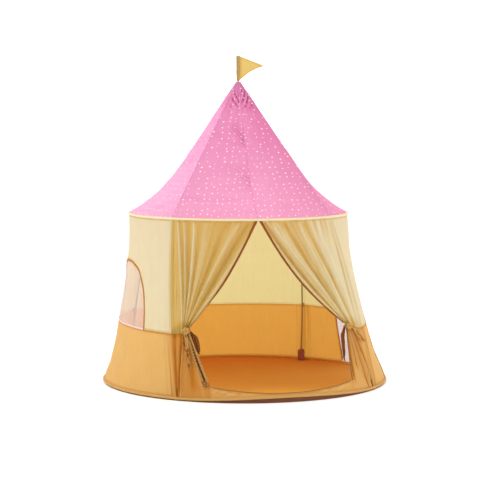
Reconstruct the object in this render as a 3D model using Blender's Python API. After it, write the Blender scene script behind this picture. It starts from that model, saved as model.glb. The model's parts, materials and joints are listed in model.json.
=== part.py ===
"""Round play tent for a child: two hoops, four fibreglass poles that meet in a crown hub, a cone roof of
eight gores, three walls with two netted windows, a door with two tied-back curtains, and a pennant on a
short mast.

Metres, +Z up. The origin is on the ground under the middle of the floor, and the door faces -Y.
An angle round the tent is in degrees from the door, towards +X, and is counted at the base hoop.
"""

import math

import bmesh
import bpy
from mathutils import Matrix, Vector

# Driving sizes of the whole tent
base_radius = 0.600
eaves_radius = 0.463
eaves_height = 0.712
apex_height = 1.267
crown_radius = 0.011
pole_count = 4
seam_height = 0.260

# The canopy hangs a little turned and leaning on its base, as it was set up
canopy_turn_degrees = -7.84
canopy_shift_x = -0.0267
canopy_shift_y = 0.0086

# Cloth, and how it is drawn in between the hoops and the poles
cloth_thickness = 0.0012
netting_thickness = 0.0010
corner_pull = 0.003
seam_bow = 0.018
wall_hollow_power = 1.85
roof_hollow_share = 0.74
roof_hollow_power = 4.6

# Gaps between pieces, and how far a cutter runs past what it cuts
clearance = 0.0003
seam_gap = 0.0008
cut_overrun = 0.060

# Hoops, and the piping sewn round them
hoop_wire_radius = 0.0022
piping_radius = 0.0050
piping_thickness = 0.0014
piping_mouth_degrees = 80
hoop_rest = 0.004
door_lift = 0.014

# Poles
rod_radius = 0.0030
pole_foot_inset = 0.030
pole_foot_gap = 0.0010
pole_bow = 0.023
ferrule_radius = 0.0045
ferrule_reach = 0.032
ferrule_end_gap = 0.0015

# Foot pockets on the floor, and the ribbon loops that hold the poles on the colour seam
pocket_width = 0.031
pocket_height = 0.052
pocket_depth = 0.0145
pocket_wall = 0.0012
pocket_corner = 0.008
loop_height = 0.018
loop_thickness = 0.0012
loop_seat_gap = 0.0010

# Crown hub and mast
hub_radius = 0.0125
hub_length = 0.035
hub_top_drop = 0.010
socket_radius = 0.0052
socket_start = 0.006
socket_reach = 0.036
rod_end_start = 0.014
hub_trim = 0.002
mast_radius = 0.0030
mast_plug_depth = 0.024

# Flag
sleeve_width = 0.0165
sleeve_depth = 0.0105
sleeve_wall = 0.0010
sleeve_lift = 0.003
sleeve_length = 0.106
pennant_hoist = 0.102
pennant_fly = 0.107
pennant_tip_drop = 0.040
pennant_tip_height = 0.002
pennant_belly = 0.010
pennant_wave = 0.004

# Floor
floor_edge_gap = 0.0010
floor_slope_width = 0.012

# Windows: the left one stands on the colour seam, and the right one reaches down to the floor
window_top = 0.520
window_curve_power = 2.9
window_left_degrees = 27.3
window_right_degrees = 24.0
window_binding_width = 0.009
window_binding_thickness = 0.0012

# Door sill
sill_middle_height = 0.038
sill_corner_height = 0.061
sill_corner_degrees = 30.5
sill_binding_width = 0.005
sill_binding_thickness = 0.0012

# Door curtains, and where the ties gather them above the colour seam
slit_half_width = 0.0015
tie_left_rise = 0.023
tie_left_degrees = 37.6
tie_right_rise = 0.015
tie_right_degrees = 36.2
waist_width = 0.034
waist_length = 0.022
waist_fold = 0.0026
curtain_fold = 0.0085
lower_fold = 0.0040

# Ties
band_height = 0.012
band_thickness = 0.0016
band_room = 0.0012
band_mouth_degrees = 70
knot_radius = 0.0085
knot_depth = 0.0050
tail_width = 0.020
tail_thickness = 0.0014
tail_left_length = 0.150
tail_right_length = 0.078
tail_left_sway = -0.010
tail_right_sway = 0.030

# Bound front edges of the curtains, and their loose corners behind the ties
edge_width = 0.008
edge_thickness = 0.0016
corner_width = 0.018
corner_thickness = 0.0030
corner_left_length = 0.092
corner_right_length = 0.140
corner_start = 0.006
corner_sway = 0.012
corner_curl = 0.003

# Shares of a cloth's own size, and the powers that bend its lines
flat_share = 0.26
fold_middle_share = 0.45
fold_rise_share = 0.50
fold_fade_share = 0.70
waist_narrowing_power = 4
left_sag_share = 0.09
right_sag_share = 0.30
tail_neck_share = 0.45
tail_spread_share = 0.33
corner_neck_share = 0.62

# Divisions
ring_divisions = 40
panel_columns = 10
wall_lower_rows = 3
wall_upper_rows = 5
roof_rows = 7
gore_columns = 4
curtain_flat_columns = 3
fold_count = 6
columns_per_fold = 4
curtain_rows = 8
lower_rows = 6
pole_divisions = 8
arch_divisions = 20
round_sides = 12
mouth_divisions = 6
knot_divisions = 4
pennant_columns = 8
pennant_rows = 3
tail_columns = 2
tail_rows = 5
corner_columns = 3
corner_rows = 5

pole_pitch = 360 / pole_count
half_pitch = pole_pitch / 2
panel_rows = wall_lower_rows + wall_upper_rows
ferrule_bend_radius = eaves_radius - piping_radius - ferrule_radius - 2 * clearance
roof_foot = eaves_height + piping_radius + clearance
roof_slope = (eaves_radius - crown_radius) / (apex_height - eaves_height)
hub_top = apex_height - hub_top_drop
hub_bottom = hub_top - hub_length
mast_bottom = hub_top - mast_plug_depth
sleeve_bottom = apex_height + sleeve_lift
sleeve_top = sleeve_bottom + sleeve_length

yellow = (0.84, 0.69, 0.42)
orange = (0.80, 0.46, 0.17)
deep_orange = (0.60, 0.21, 0.03)
brown = (0.20, 0.06, 0.01)
tan = (0.62, 0.38, 0.14)
pink = (0.91, 0.33, 0.58)
net_pink = (0.93, 0.82, 0.82)
boot_pink = (0.45, 0.17, 0.12)
rod_grey = (0.16, 0.11, 0.08)
steel_grey = (0.50, 0.50, 0.50)
moulded_black = (0.12, 0.12, 0.12)


def clear_objects():
    for thing in list(bpy.data.objects):
        bpy.data.objects.remove(thing, do_unlink=True)


def finish(name, colour, roughness, metallic=0.0):
    """A Principled material of one colour."""
    made = bpy.data.materials.new(name)
    made.use_nodes = True
    surface = made.node_tree.nodes["Principled BSDF"]
    surface.inputs["Base Color"].default_value = (*colour, 1.0)
    surface.inputs["Roughness"].default_value = roughness
    surface.inputs["Metallic"].default_value = metallic
    made.diffuse_color = (*colour, 1.0)
    return made


def add_piece(name, mesh, material):
    """Turns a finished closed bmesh into a named object whose faces point out."""
    bmesh.ops.recalc_face_normals(mesh, faces=mesh.faces)
    if mesh.calc_volume(signed=True) < 0:
        bmesh.ops.reverse_faces(mesh, faces=mesh.faces)
    data = bpy.data.meshes.new(name)
    mesh.to_mesh(data)
    mesh.free()
    data.shade_smooth()
    data.set_sharp_from_angle(angle=math.radians(40))
    data.materials.append(material)
    piece = bpy.data.objects.new(name, data)
    bpy.context.collection.objects.link(piece)
    return piece


def as_cutter(piece):
    piece.hide_render = True
    piece.display_type = "WIRE"
    return piece


def combine(piece, other, operation):
    """Leaves a live Boolean on the piece and turns the other object into a hidden cutter."""
    step = piece.modifiers.new(operation.title(), "BOOLEAN")
    step.operation = operation
    step.solver = "EXACT"
    step.object = as_cutter(other)


def set_origin(piece, point):
    """Moves the piece's origin to a point, such as one on its joint's axis, and leaves its shape in place."""
    piece.data.transform(Matrix.Translation(-point))
    piece.location = point


def between(start, end, share):
    return start + (end - start) * share


def smooth(share):
    """0 to 1, with level ends."""
    share = min(max(share, 0), 1)
    return share * share * (3 - 2 * share)


def degrees_across(length, radius):
    return math.degrees(length / radius)


def aimed(point, direction):
    """Places a shape made along +Z at a point, along a direction."""
    turn = Vector((0, 0, 1)).rotation_difference(direction.normalized())
    return Matrix.Translation(point) @ turn.to_matrix().to_4x4()


# The tent's surfaces

def place(angle, height, radius):
    """A point at an angle, height and distance from the tent's middle, on the turned and leaning canopy."""
    rise = min(max(height / eaves_height, 0), 1)
    turned = math.radians(angle + canopy_turn_degrees * rise)
    return Vector((
        radius * math.sin(turned) + canopy_shift_x * rise,
        -radius * math.cos(turned) + canopy_shift_y * rise,
        height,
    ))


def corner_share(angle):
    """0 midway between two poles and 1 on a pole line."""
    return 1 - abs((angle % pole_pitch) / half_pitch - 1)


def hoop_height(angle):
    """Height of the base hoop's middle: the walls hold it off the ground, highest at the door's middle."""
    from_door = (angle + 180) % 360 - 180
    lift = 0
    if abs(from_door) < half_pitch:
        lift = door_lift * (1 + math.cos(math.radians(pole_count * from_door))) / 2
    return hoop_rest + piping_radius + lift


def wall_foot(angle):
    return hoop_height(angle) + piping_radius + clearance


def wall_radius(angle, height):
    """Outer face of the walls: hollow between the poles, and bowed out along them."""
    low = hoop_height(angle)
    share = min(max((height - low) / (eaves_height - low), 0), 1)
    middle = between(eaves_radius, base_radius, (1 - share) ** wall_hollow_power)
    corner = between(base_radius - corner_pull, eaves_radius, share) + seam_bow * math.sin(math.pi * share)
    return between(middle, corner, corner_share(angle) ** 2)


def roof_radius(angle, height):
    """Outer face of the roof: straight ridges over the poles, with the cloth hollow between them."""
    share = (height - roof_foot) / (apex_height - roof_foot)
    ridge = between(eaves_radius, crown_radius, share)
    middle_share = between(roof_hollow_share, 1, max(1 - share, 0) ** roof_hollow_power)
    return ridge * between(middle_share, 1, corner_share(angle) ** 2)


def wall_point(angle, height, depth=0.0):
    """A point on the walls, a depth inside their outer face."""
    return place(angle, height, wall_radius(angle, height) - depth)


def row_height(angle, row):
    """The wall's rows: the lower ones end on the colour seam, the upper ones under the eaves piping."""
    if row <= wall_lower_rows:
        return between(wall_foot(angle), seam_height, row / wall_lower_rows)
    top = eaves_height - piping_radius - clearance
    return between(seam_height, top, (row - wall_lower_rows) / wall_upper_rows)


# Ways of making a piece

def cloth(name, material, columns, rows, point, thickness):
    """A closed sheet. point(across, up, depth) places it, with depth 0 on its outer face."""
    mesh = bmesh.new()
    bmesh.ops.create_grid(mesh, x_segments=columns, y_segments=rows, size=0.5)
    bmesh.ops.triangulate(mesh, faces=mesh.faces, quad_method="FIXED")
    inner = set(mesh.verts)
    bmesh.ops.extrude_face_region(mesh, geom=mesh.faces[:])
    for corner in mesh.verts:
        depth = thickness if corner in inner else 0
        corner.co = point(corner.co.x + 0.5, corner.co.y + 0.5, depth)
    return add_piece(name, mesh, material)


def rod(name, material, points, radius, closed=False):
    """A round bar along a row of points."""
    path = bpy.data.curves.new(name, "CURVE")
    path.dimensions = "3D"
    path.bevel_depth = radius
    path.bevel_resolution = 1
    path.use_fill_caps = not closed
    line = path.splines.new("POLY")
    line.points.add(len(points) - 1)
    for knot, point in zip(line.points, points):
        knot.co = (*point, 1)
    line.use_cyclic_u = closed
    path.materials.append(material)
    piece = bpy.data.objects.new(name, path)
    bpy.context.collection.objects.link(piece)
    return piece


def turned(name, material, profile, sides, where):
    """A profile of (radius, height) points that starts and ends on the axis, spun about +Z and put in place."""
    mesh = bmesh.new()
    knots = [mesh.verts.new((radius, 0, height)) for radius, height in profile]
    edges = [mesh.edges.new(pair) for pair in zip(knots, knots[1:])]
    bmesh.ops.spin(mesh, geom=knots + edges, axis=(0, 0, 1), cent=(0, 0, 0),
                   angle=math.tau, steps=sides, use_merge=True)
    bmesh.ops.remove_doubles(mesh, verts=mesh.verts, dist=clearance / 100)
    mesh.transform(where)
    return add_piece(name, mesh, material)


def prism(name, material, outline, lift):
    """A flat outline, given as points, and the same outline moved on by lift."""
    mesh = bmesh.new()
    face = mesh.faces.new([mesh.verts.new(point) for point in outline])
    raised = bmesh.ops.extrude_face_region(mesh, geom=[face])["geom"]
    bmesh.ops.translate(mesh, verts=[part for part in raised if isinstance(part, bmesh.types.BMVert)], vec=lift)
    bmesh.ops.triangulate(mesh, faces=mesh.faces)
    return add_piece(name, mesh, material)


def loft(name, material, rings, closed):
    """Faces between rings of equally many points. An open loft gets a cap on each end."""
    mesh = bmesh.new()
    rows = [[mesh.verts.new(point) for point in ring] for ring in rings]
    following = rows[1:] + rows[:1] if closed else rows[1:]
    for row, after in zip(rows, following):
        for index, corner in enumerate(row):
            beside = (index + 1) % len(row)
            mesh.faces.new((corner, row[beside], after[beside], after[index]))
    if not closed:
        mesh.faces.new(rows[0])
        mesh.faces.new(rows[-1])
    bmesh.ops.triangulate(mesh, faces=mesh.faces, quad_method="FIXED")
    return add_piece(name, mesh, material)


# Hoops and piping

def hoop_points(radius, height_at):
    return [place(360 * step / ring_divisions, height_at(360 * step / ring_divisions), radius)
            for step in range(ring_divisions)]


def piping(name, material, radius, height_at):
    """Folded tape round a hoop, with its mouth towards the tent's middle, where the cloth is sewn in."""
    mouth = math.radians(piping_mouth_degrees / 2)
    turns = [between(mouth, math.tau - mouth, step / mouth_divisions) for step in range(mouth_divisions + 1)]
    section = [(piping_radius, turn) for turn in turns]
    section += [(piping_radius - piping_thickness, turn) for turn in reversed(turns)]
    rings = []
    for step in range(ring_divisions):
        angle = 360 * step / ring_divisions
        rings.append([place(angle, height_at(angle), radius - size * math.cos(turn))
                      + Vector((0, 0, size * math.sin(turn))) for size, turn in section])
    return loft(name, material, rings, closed=True)


def eaves_level(angle):
    return eaves_height


def make_hoops(wire, base_tape, eaves_tape):
    """Each hoop springs outwards and lies against the outer side of its piping."""
    seat = piping_radius - piping_thickness - hoop_wire_radius - 2 * clearance
    rod("base_hoop", wire, hoop_points(base_radius + seat, hoop_height), hoop_wire_radius, closed=True)
    piping("base_piping", base_tape, base_radius, hoop_height)
    rod("eaves_hoop", wire, hoop_points(eaves_radius + seat, eaves_level), hoop_wire_radius, closed=True)
    piping("eaves_piping", eaves_tape, eaves_radius, eaves_level)


# Floor

def make_floor(material):
    """A round ground sheet that lies flat and climbs to the base hoop along its edge."""
    rim = base_radius - piping_radius - floor_edge_gap
    flat = rim - floor_slope_width
    mesh = bmesh.new()
    disc = bmesh.ops.create_circle(mesh, segments=ring_divisions, radius=flat, cap_ends=True, cap_tris=True)
    outline = [edge for edge in mesh.edges if edge.is_boundary]
    grown = bmesh.ops.extrude_edge_only(mesh, edges=outline)["geom"]
    for corner in grown:
        if isinstance(corner, bmesh.types.BMVert):
            angle = math.degrees(math.atan2(corner.co.x, -corner.co.y))
            corner.co = place(angle, 0, rim) + Vector((0, 0, hoop_height(angle)))
    bmesh.ops.triangulate(mesh, faces=mesh.faces)
    top = bmesh.ops.extrude_face_region(mesh, geom=mesh.faces[:])["geom"]
    raised = [part for part in top if isinstance(part, bmesh.types.BMVert)]
    bmesh.ops.translate(mesh, verts=raised, vec=(0, 0, cloth_thickness))
    return add_piece("floor", mesh, material)


# Walls and windows

def wall_sheet(name, material, middle, first_row, last_row, depth, thickness):
    """Part of the wall between two poles, from one row to another, a depth inside the outer face."""
    def point(across, up, inward):
        row = between(first_row, last_row, up)
        angle = middle + (2 * across - 1) * half_pitch
        height = row_height(angle, row)
        if first_row == wall_lower_rows:
            height = max(height, seam_height + seam_gap / 2)
        if last_row == wall_lower_rows:
            height = min(height, seam_height - seam_gap / 2)
        trimmed = (2 * across - 1) * (half_pitch - degrees_across(seam_gap / 2, eaves_radius))
        radius = wall_radius(angle, height) - depth - inward
        return place(middle + trimmed, height, radius)
    return cloth(name, material, panel_columns, last_row - first_row, point, thickness)


def arch_cutter(name, material, middle, half_degrees, grow):
    """A block with a window's outline, grown outwards by a length, that passes through the wall."""
    half = half_degrees + degrees_across(grow, base_radius)
    rise = window_top - seam_height + grow
    outline = [(middle + half, -cut_overrun)]
    for step in range(arch_divisions + 1):
        turn = math.pi * step / arch_divisions
        level = abs(math.cos(turn)) ** (2 / window_curve_power) * math.copysign(1, math.cos(turn))
        outline.append((middle + half * level,
                        seam_height + rise * math.sin(turn) ** (2 / window_curve_power)))
    outline.append((middle - half, -cut_overrun))
    return wall_block(name, material, outline)


def wall_block(name, material, outline):
    """A block through the walls, with an outline of (angle, height) points."""
    inside = eaves_radius - cut_overrun
    outside = base_radius + 2 * cut_overrun
    rings = [[place(angle, height, radius) for angle, height in outline] for radius in (inside, outside)]
    return loft(name, material, rings, closed=False)


def make_window(side, middle, half_degrees, first_row, net, tape):
    """Netting in an arched opening, and the binding that covers their seam."""
    netting = wall_sheet(f"window_mesh_{side}", net, middle, first_row, panel_rows,
                         (cloth_thickness - netting_thickness) / 2, netting_thickness)
    combine(netting, arch_cutter(f"net_outline_{side}", net, middle, half_degrees, -seam_gap), "INTERSECT")
    binding = wall_sheet(f"window_binding_{side}", tape, middle, first_row, panel_rows,
                         -clearance - window_binding_thickness, window_binding_thickness)
    half_width = window_binding_width / 2
    combine(binding, arch_cutter(f"binding_outside_{side}", tape, middle, half_degrees, half_width), "INTERSECT")
    combine(binding, arch_cutter(f"binding_inside_{side}", tape, middle, half_degrees, -half_width), "DIFFERENCE")


def make_walls(upper, lower, net, tape):
    """Each wall is yellow over orange. The right wall's tall window parts its orange cloth in two."""
    for side, middle in (("left", -pole_pitch), ("back", 2 * pole_pitch), ("right", pole_pitch)):
        high = wall_sheet(f"wall_{side}_upper", upper, middle, wall_lower_rows, panel_rows, 0, cloth_thickness)
        if side == "right":
            combine(high, arch_cutter("cut_right", net, middle, window_right_degrees, 0), "DIFFERENCE")
            make_window(side, middle, window_right_degrees, 0, net, tape)
            for name, turn in (("front", -1), ("back", 1)):
                low = wall_sheet(f"wall_right_lower_{name}", lower, middle, 0, wall_lower_rows, 0, cloth_thickness)
                near = middle + turn * window_right_degrees
                far = middle + turn * pole_pitch
                outline = [(near, -cut_overrun), (near, seam_height), (near, seam_height + cut_overrun),
                           (far, seam_height + cut_overrun), (far, -cut_overrun)]
                combine(low, wall_block(f"keep_{name}", net, outline), "INTERSECT")
            continue
        wall_sheet(f"wall_{side}_lower", lower, middle, 0, wall_lower_rows, 0, cloth_thickness)
        if side == "left":
            combine(high, arch_cutter("cut_left", net, middle, window_left_degrees, 0), "DIFFERENCE")
            make_window(side, middle, window_left_degrees, wall_lower_rows, net, tape)


# Roof

def make_roof(material):
    """Eight gores: their seams run up the ridges over the poles and up the middle of each face."""
    gore_count = 2 * pole_count
    for number in range(gore_count):
        def point(across, up, inward):
            angle = (number + across) * half_pitch
            height = between(roof_foot, apex_height, up)
            radius = roof_radius(angle, height)
            gap = degrees_across(seam_gap / 2, radius) * (1 - 2 * across)
            return place(angle + gap, height, radius - inward)
        cloth(f"roof_gore_{number + 1}", material, gore_columns, roof_rows, point, cloth_thickness)


# Poles

def lower_pole_point(angle, height):
    """Axis of a pole below the eaves: one shallow bow between its pocket and the bend."""
    share = height / eaves_height
    foot = base_radius - pole_foot_inset
    radius = between(foot, ferrule_bend_radius, share) + pole_bow * math.sin(math.pi * share)
    return place(angle, height, radius)


def upper_pole_point(angle, radius):
    """Axis of a pole above the eaves: a straight line inside the ridge."""
    return place(angle, eaves_height + (ferrule_bend_radius - radius) / roof_slope, radius)


def tube_ring(centre, direction, radius, sides):
    frame = aimed(centre, direction)
    return [frame @ Vector((radius * math.cos(math.tau * step / sides),
                            radius * math.sin(math.tau * step / sides), 0)) for step in range(sides)]


def make_ferrule(name, material, angle):
    """A bent tube that joins the two lengths of a pole where it passes the eaves hoop."""
    bend = upper_pole_point(angle, ferrule_bend_radius)
    down = (lower_pole_point(angle, eaves_height - ferrule_reach) - bend).normalized()
    up = (upper_pole_point(angle, ferrule_bend_radius - ferrule_reach) - bend).normalized()
    path = [(bend + down * ferrule_reach, -down), (bend, (up - down)), (bend + up * ferrule_reach, up)]
    outer = [tube_ring(centre, direction, ferrule_radius, round_sides) for centre, direction in path]
    bore = [tube_ring(centre, direction, rod_radius + clearance, round_sides) for centre, direction in path]
    return loft(name, material, outer + bore[::-1], closed=True)


def make_foot_pocket(name, material, angle):
    """A flat boot of cloth on the floor, with clipped corners and an open top."""
    base = cloth_thickness + clearance
    middle = lower_pole_point(angle, pocket_height / 2)
    outward = Vector((math.sin(math.radians(angle)), -math.cos(math.radians(angle)), 0))
    across = Vector((-outward.y, outward.x, 0))
    half = pocket_width / 2
    centre = Vector((middle.x, middle.y, base))

    def outline(half_width, low, high, corner, depth):
        shape = [(-half_width, low), (half_width, low), (half_width, high - corner),
                 (half_width - corner, high), (corner - half_width, high), (-half_width, high - corner)]
        return [centre + across * x + Vector((0, 0, z)) - outward * depth / 2 for x, z in shape]

    boot = prism(name, material, outline(half, 0, pocket_height, pocket_corner, pocket_depth),
                 outward * pocket_depth)
    room = pocket_depth - 2 * pocket_wall
    hollow = prism(f"{name}_hollow", material,
                   outline(half - pocket_wall, pocket_wall, pocket_height + cut_overrun, pocket_corner, room),
                   outward * room)
    combine(boot, hollow, "DIFFERENCE")
    return boot


def make_pole_loop(name, material, angle):
    """A ribbon folded round the pole, with both ends sewn to the wall's corner seam."""
    height = seam_height
    centre = lower_pole_point(angle, height)
    along = (lower_pole_point(angle, height + loop_height) - centre).normalized()
    inner = rod_radius + clearance
    outer = inner + loop_thickness
    beside = degrees_across(outer, base_radius)
    seat = (wall_point(angle - beside, height, cloth_thickness)
            + wall_point(angle + beside, height, cloth_thickness)) / 2
    outward = seat - centre
    outward -= along * outward.dot(along)
    reach = outward.length - loop_seat_gap
    outward.normalize()
    across = along.cross(outward)
    start = centre - along * loop_height / 2
    half_turn = [math.pi * step / round_sides for step in range(round_sides + 1)]
    outline = [start + outward * reach + across * outer]
    outline += [start + across * outer * math.cos(turn) - outward * outer * math.sin(turn) for turn in half_turn]
    outline += [start + outward * reach - across * outer, start + outward * reach - across * inner]
    outline += [start + across * inner * math.cos(turn) - outward * inner * math.sin(turn)
                for turn in reversed(half_turn)]
    outline.append(start + outward * reach + across * inner)
    return prism(name, material, outline, along * loop_height)


def make_poles(fibre, metal, boot, ribbon):
    foot_height = cloth_thickness + pocket_wall + pole_foot_gap
    for number in range(pole_count):
        angle = (number + 0.5) * pole_pitch
        top_height = eaves_height - ferrule_end_gap
        heights = [between(foot_height, top_height, step / pole_divisions) for step in range(pole_divisions + 1)]
        rod(f"pole_lower_{number + 1}", fibre, [lower_pole_point(angle, height) for height in heights], rod_radius)
        start = upper_pole_point(angle, ferrule_bend_radius - ferrule_end_gap)
        rod(f"pole_upper_{number + 1}", fibre, [start, upper_pole_point(angle, rod_end_start)], rod_radius)
        make_ferrule(f"pole_ferrule_{number + 1}", metal, angle)
        make_foot_pocket(f"foot_pocket_{number + 1}", boot, angle)
        make_pole_loop(f"pole_loop_{number + 1}", ribbon, angle)


# Crown hub, mast and flag

def make_crown_hub(material):
    """A moulded boss with four sloping sockets for the poles and an upright bore for the mast, level on top."""
    axis = place(0, apex_height, 0)
    centre = Matrix.Translation((axis.x, axis.y, 0))
    # Each cutter is turned by half a side, so that none of its corners meets an edge of the faces that it cuts
    half_side = Matrix.Rotation(math.pi / round_sides, 4, "Z")
    raw_top = hub_top + hub_trim
    body = [(0, hub_bottom), (hub_radius, hub_bottom), (hub_radius, raw_top), (0, raw_top)]
    hub = turned("crown_hub", material, body, round_sides, centre)
    over = [(0, hub_top), (cut_overrun, hub_top), (cut_overrun, hub_top + cut_overrun), (0, hub_top + cut_overrun)]
    cutters = [turned("hub_top_trim", material, over, round_sides, centre @ half_side)]
    for number in range(pole_count):
        angle = (number + 0.5) * pole_pitch
        start = upper_pole_point(angle, socket_start)
        downhill = upper_pole_point(angle, socket_start + socket_reach) - start
        sleeve = [(0, 0), (socket_radius, 0), (socket_radius, socket_reach), (0, socket_reach)]
        arm = turned(f"hub_arm_{number + 1}", material, sleeve, round_sides, aimed(start, downhill))
        combine(hub, arm, "UNION")
        mouth = upper_pole_point(angle, rod_end_start - clearance)
        drill = rod_radius + clearance
        bore = [(0, 0), (drill, 0), (drill, socket_reach + cut_overrun), (0, socket_reach + cut_overrun)]
        cutters.append(turned(f"hub_bore_{number + 1}", material, bore, round_sides,
                              aimed(mouth, downhill) @ half_side))
    drill = mast_radius + clearance
    bottom = mast_bottom - clearance
    bore = [(0, bottom), (drill, bottom), (drill, hub_top + cut_overrun), (0, hub_top + cut_overrun)]
    cutters.append(turned("hub_mast_bore", material, bore, round_sides, centre @ half_side))
    for cutter in cutters:
        combine(hub, cutter, "DIFFERENCE")


def make_flag(fibre, ribbon, material):
    """The mast, the closed-topped sleeve that slips over it, and the pennant sewn to the sleeve."""
    axis = place(0, apex_height, 0)
    centre = Matrix.Translation((axis.x, axis.y, 0))
    mast_top = sleeve_top - sleeve_wall - clearance
    bar = [(0, mast_bottom), (mast_radius, mast_bottom), (mast_radius, mast_top), (0, mast_top)]
    mast = turned("mast", fibre, bar, round_sides, centre)
    set_origin(mast, Vector((axis.x, axis.y, mast_bottom)))

    inner_width = sleeve_width / 2 - sleeve_wall
    cup = [(0, sleeve_top), (sleeve_width / 2, sleeve_top), (sleeve_width / 2, sleeve_bottom),
           (inner_width, sleeve_bottom), (inner_width, sleeve_top - sleeve_wall), (0, sleeve_top - sleeve_wall)]
    flat = Matrix.Diagonal((1, sleeve_depth / sleeve_width, 1, 1))
    sleeve = turned("flag_sleeve", ribbon, cup, round_sides, centre @ flat)
    set_origin(sleeve, Vector((axis.x, axis.y, sleeve_bottom)))

    hoist_top = sleeve_top - sleeve_wall
    hoist_bottom = hoist_top - pennant_hoist
    tip_low = hoist_top - pennant_tip_drop - pennant_tip_height
    start = sleeve_width / 2 + clearance

    def point(across, up, depth):
        upper = hoist_top - pennant_tip_drop * across
        lower = between(hoist_bottom, tip_low, across) + pennant_belly * math.sin(math.pi * across)
        ripple = pennant_wave * math.sin(math.tau * across) * across
        return Vector((axis.x + start + pennant_fly * across, axis.y + ripple + depth - cloth_thickness / 2,
                       between(lower, upper, up)))
    pennant = cloth("flag_pennant", material, pennant_columns, pennant_rows, point, cloth_thickness)
    set_origin(pennant, Vector((axis.x, axis.y, sleeve_bottom)))


# Door

def sill_height(angle):
    return between(sill_middle_height, sill_corner_height, (angle / sill_corner_degrees) ** 2)


def make_sill(material, tape):
    """The strip of cloth across the foot of the door, with a binding along its top edge."""
    reach = sill_corner_degrees - degrees_across(2 * seam_gap, base_radius)

    def strip(across, up, depth):
        angle = (2 * across - 1) * reach
        return wall_point(angle, between(wall_foot(angle), sill_height(angle), up), depth)

    def edging(across, up, depth):
        angle = (2 * across - 1) * reach
        top = sill_height(angle)
        return wall_point(angle, between(top - sill_binding_width, top, up), depth - sill_binding_thickness - clearance)
    cloth("door_sill", material, panel_columns, 1, strip, cloth_thickness)
    cloth("sill_binding", tape, panel_columns, 1, edging, sill_binding_thickness)


class Curtain:
    """One door curtain: where its cloth runs from the eaves to the tie, and from the tie to the hoop."""

    def __init__(self, side):
        left = side == "left"
        self.side = side
        self.sign = -1 if left else 1
        self.tie_height = seam_height + (tie_left_rise if left else tie_right_rise)
        self.tie_degrees = tie_left_degrees if left else tie_right_degrees
        self.sag_share = left_sag_share if left else right_sag_share
        self.tail_length = tail_left_length if left else tail_right_length
        self.tail_sway = tail_left_sway if left else tail_right_sway
        self.corner_length = corner_left_length if left else corner_right_length
        self.top = eaves_height - piping_radius - clearance
        self.slit = degrees_across(slit_half_width + edge_width, eaves_radius)
        self.half_waist = degrees_across(waist_width / 2, wall_radius(self.tie_degrees, self.tie_height))
        self.pole = half_pitch - degrees_across(seam_gap / 2, eaves_radius)
        self.waist_bottom = self.tie_height - band_height / 2 - (waist_length - band_height) / 2
        self.waist_top = self.waist_bottom + waist_length

    def gathered(self, across):
        """0 in the part that hangs flat beside the pole, rising to 1 in the gathered part."""
        return smooth(across / flat_share)

    def sagged(self, share):
        """How far across the front edge has come at a share of its drop: it sags below a straight line."""
        return between(share, share ** 3, self.sag_share)

    def waist_angle(self, across):
        if across < flat_share:
            return between(self.pole, self.tie_degrees + self.half_waist, across / flat_share)
        return between(self.tie_degrees + self.half_waist, self.tie_degrees - self.half_waist,
                       (across - flat_share) / (1 - flat_share))

    def fold(self, across, depth):
        """Radial wave of the folds, which dies out at both edges of the gathered part."""
        share = (across - flat_share) / (1 - flat_share)
        if share <= 0:
            return 0
        fade = smooth(4 * share) * smooth(4 * (1 - share))
        return depth * fade * math.sin(math.tau * fold_count * share)

    def upper(self, across, down, depth):
        """The upper cloth: down is 0 at the eaves, 1 at its lower edge."""
        last = (curtain_rows - 1) / curtain_rows
        sweep = min(down / last, 1)
        top_angle = between(self.pole, self.slit, across)
        angle = between(top_angle, self.waist_angle(across), between(sweep, self.sagged(sweep), across))
        gathered = self.gathered(across)
        low = between(seam_height + seam_gap / 2, self.waist_bottom, gathered)
        neck = between(low, self.waist_top, gathered)
        if down <= last:
            height = between(self.top, neck, sweep)
        else:
            height = between(neck, low, (down - last) / (1 - last))
        swell = between(fold_middle_share, 1, math.sin(math.pi * sweep))
        size = between(curtain_fold * swell, waist_fold, sweep ** waist_narrowing_power)
        return wall_point(self.sign * angle, height, depth - self.fold(across, size))

    def lower(self, across, down, depth):
        """The lower cloth: down is 0 at the tie and 1 at the base hoop."""
        gathered = self.gathered(across)
        high = between(seam_height - seam_gap / 2, self.waist_bottom - seam_gap, gathered)
        foot_angle = between(self.pole, sill_corner_degrees, across)
        low = wall_foot(foot_angle)
        height = between(high, low, down)
        rest = max((sill_corner_height - low) / (high - low), 0)
        sweep = min(down / (1 - rest * across), 1)
        angle = between(self.waist_angle(across), foot_angle, sweep)
        size = between(waist_fold, lower_fold, smooth(down / fold_rise_share)) * smooth((1 - down) / fold_fade_share)
        return wall_point(self.sign * angle, height, depth - self.fold(across, size))

    def front_edge(self, share, inward, depth):
        """A point on the bound front edge: share runs down it, inward across it towards the door's middle."""
        height = between(self.top, self.waist_top, share)
        angle = between(self.slit, self.tie_degrees - self.half_waist, self.sagged(share))
        slide = degrees_across(clearance + inward, wall_radius(angle, height))
        return wall_point(self.sign * (angle - slide), height, depth)

    def pivot(self):
        """The top corner of the front edge at the door's middle, which is the curtain's hinge."""
        return self.front_edge(0, edge_width, edge_thickness / 2)


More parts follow.
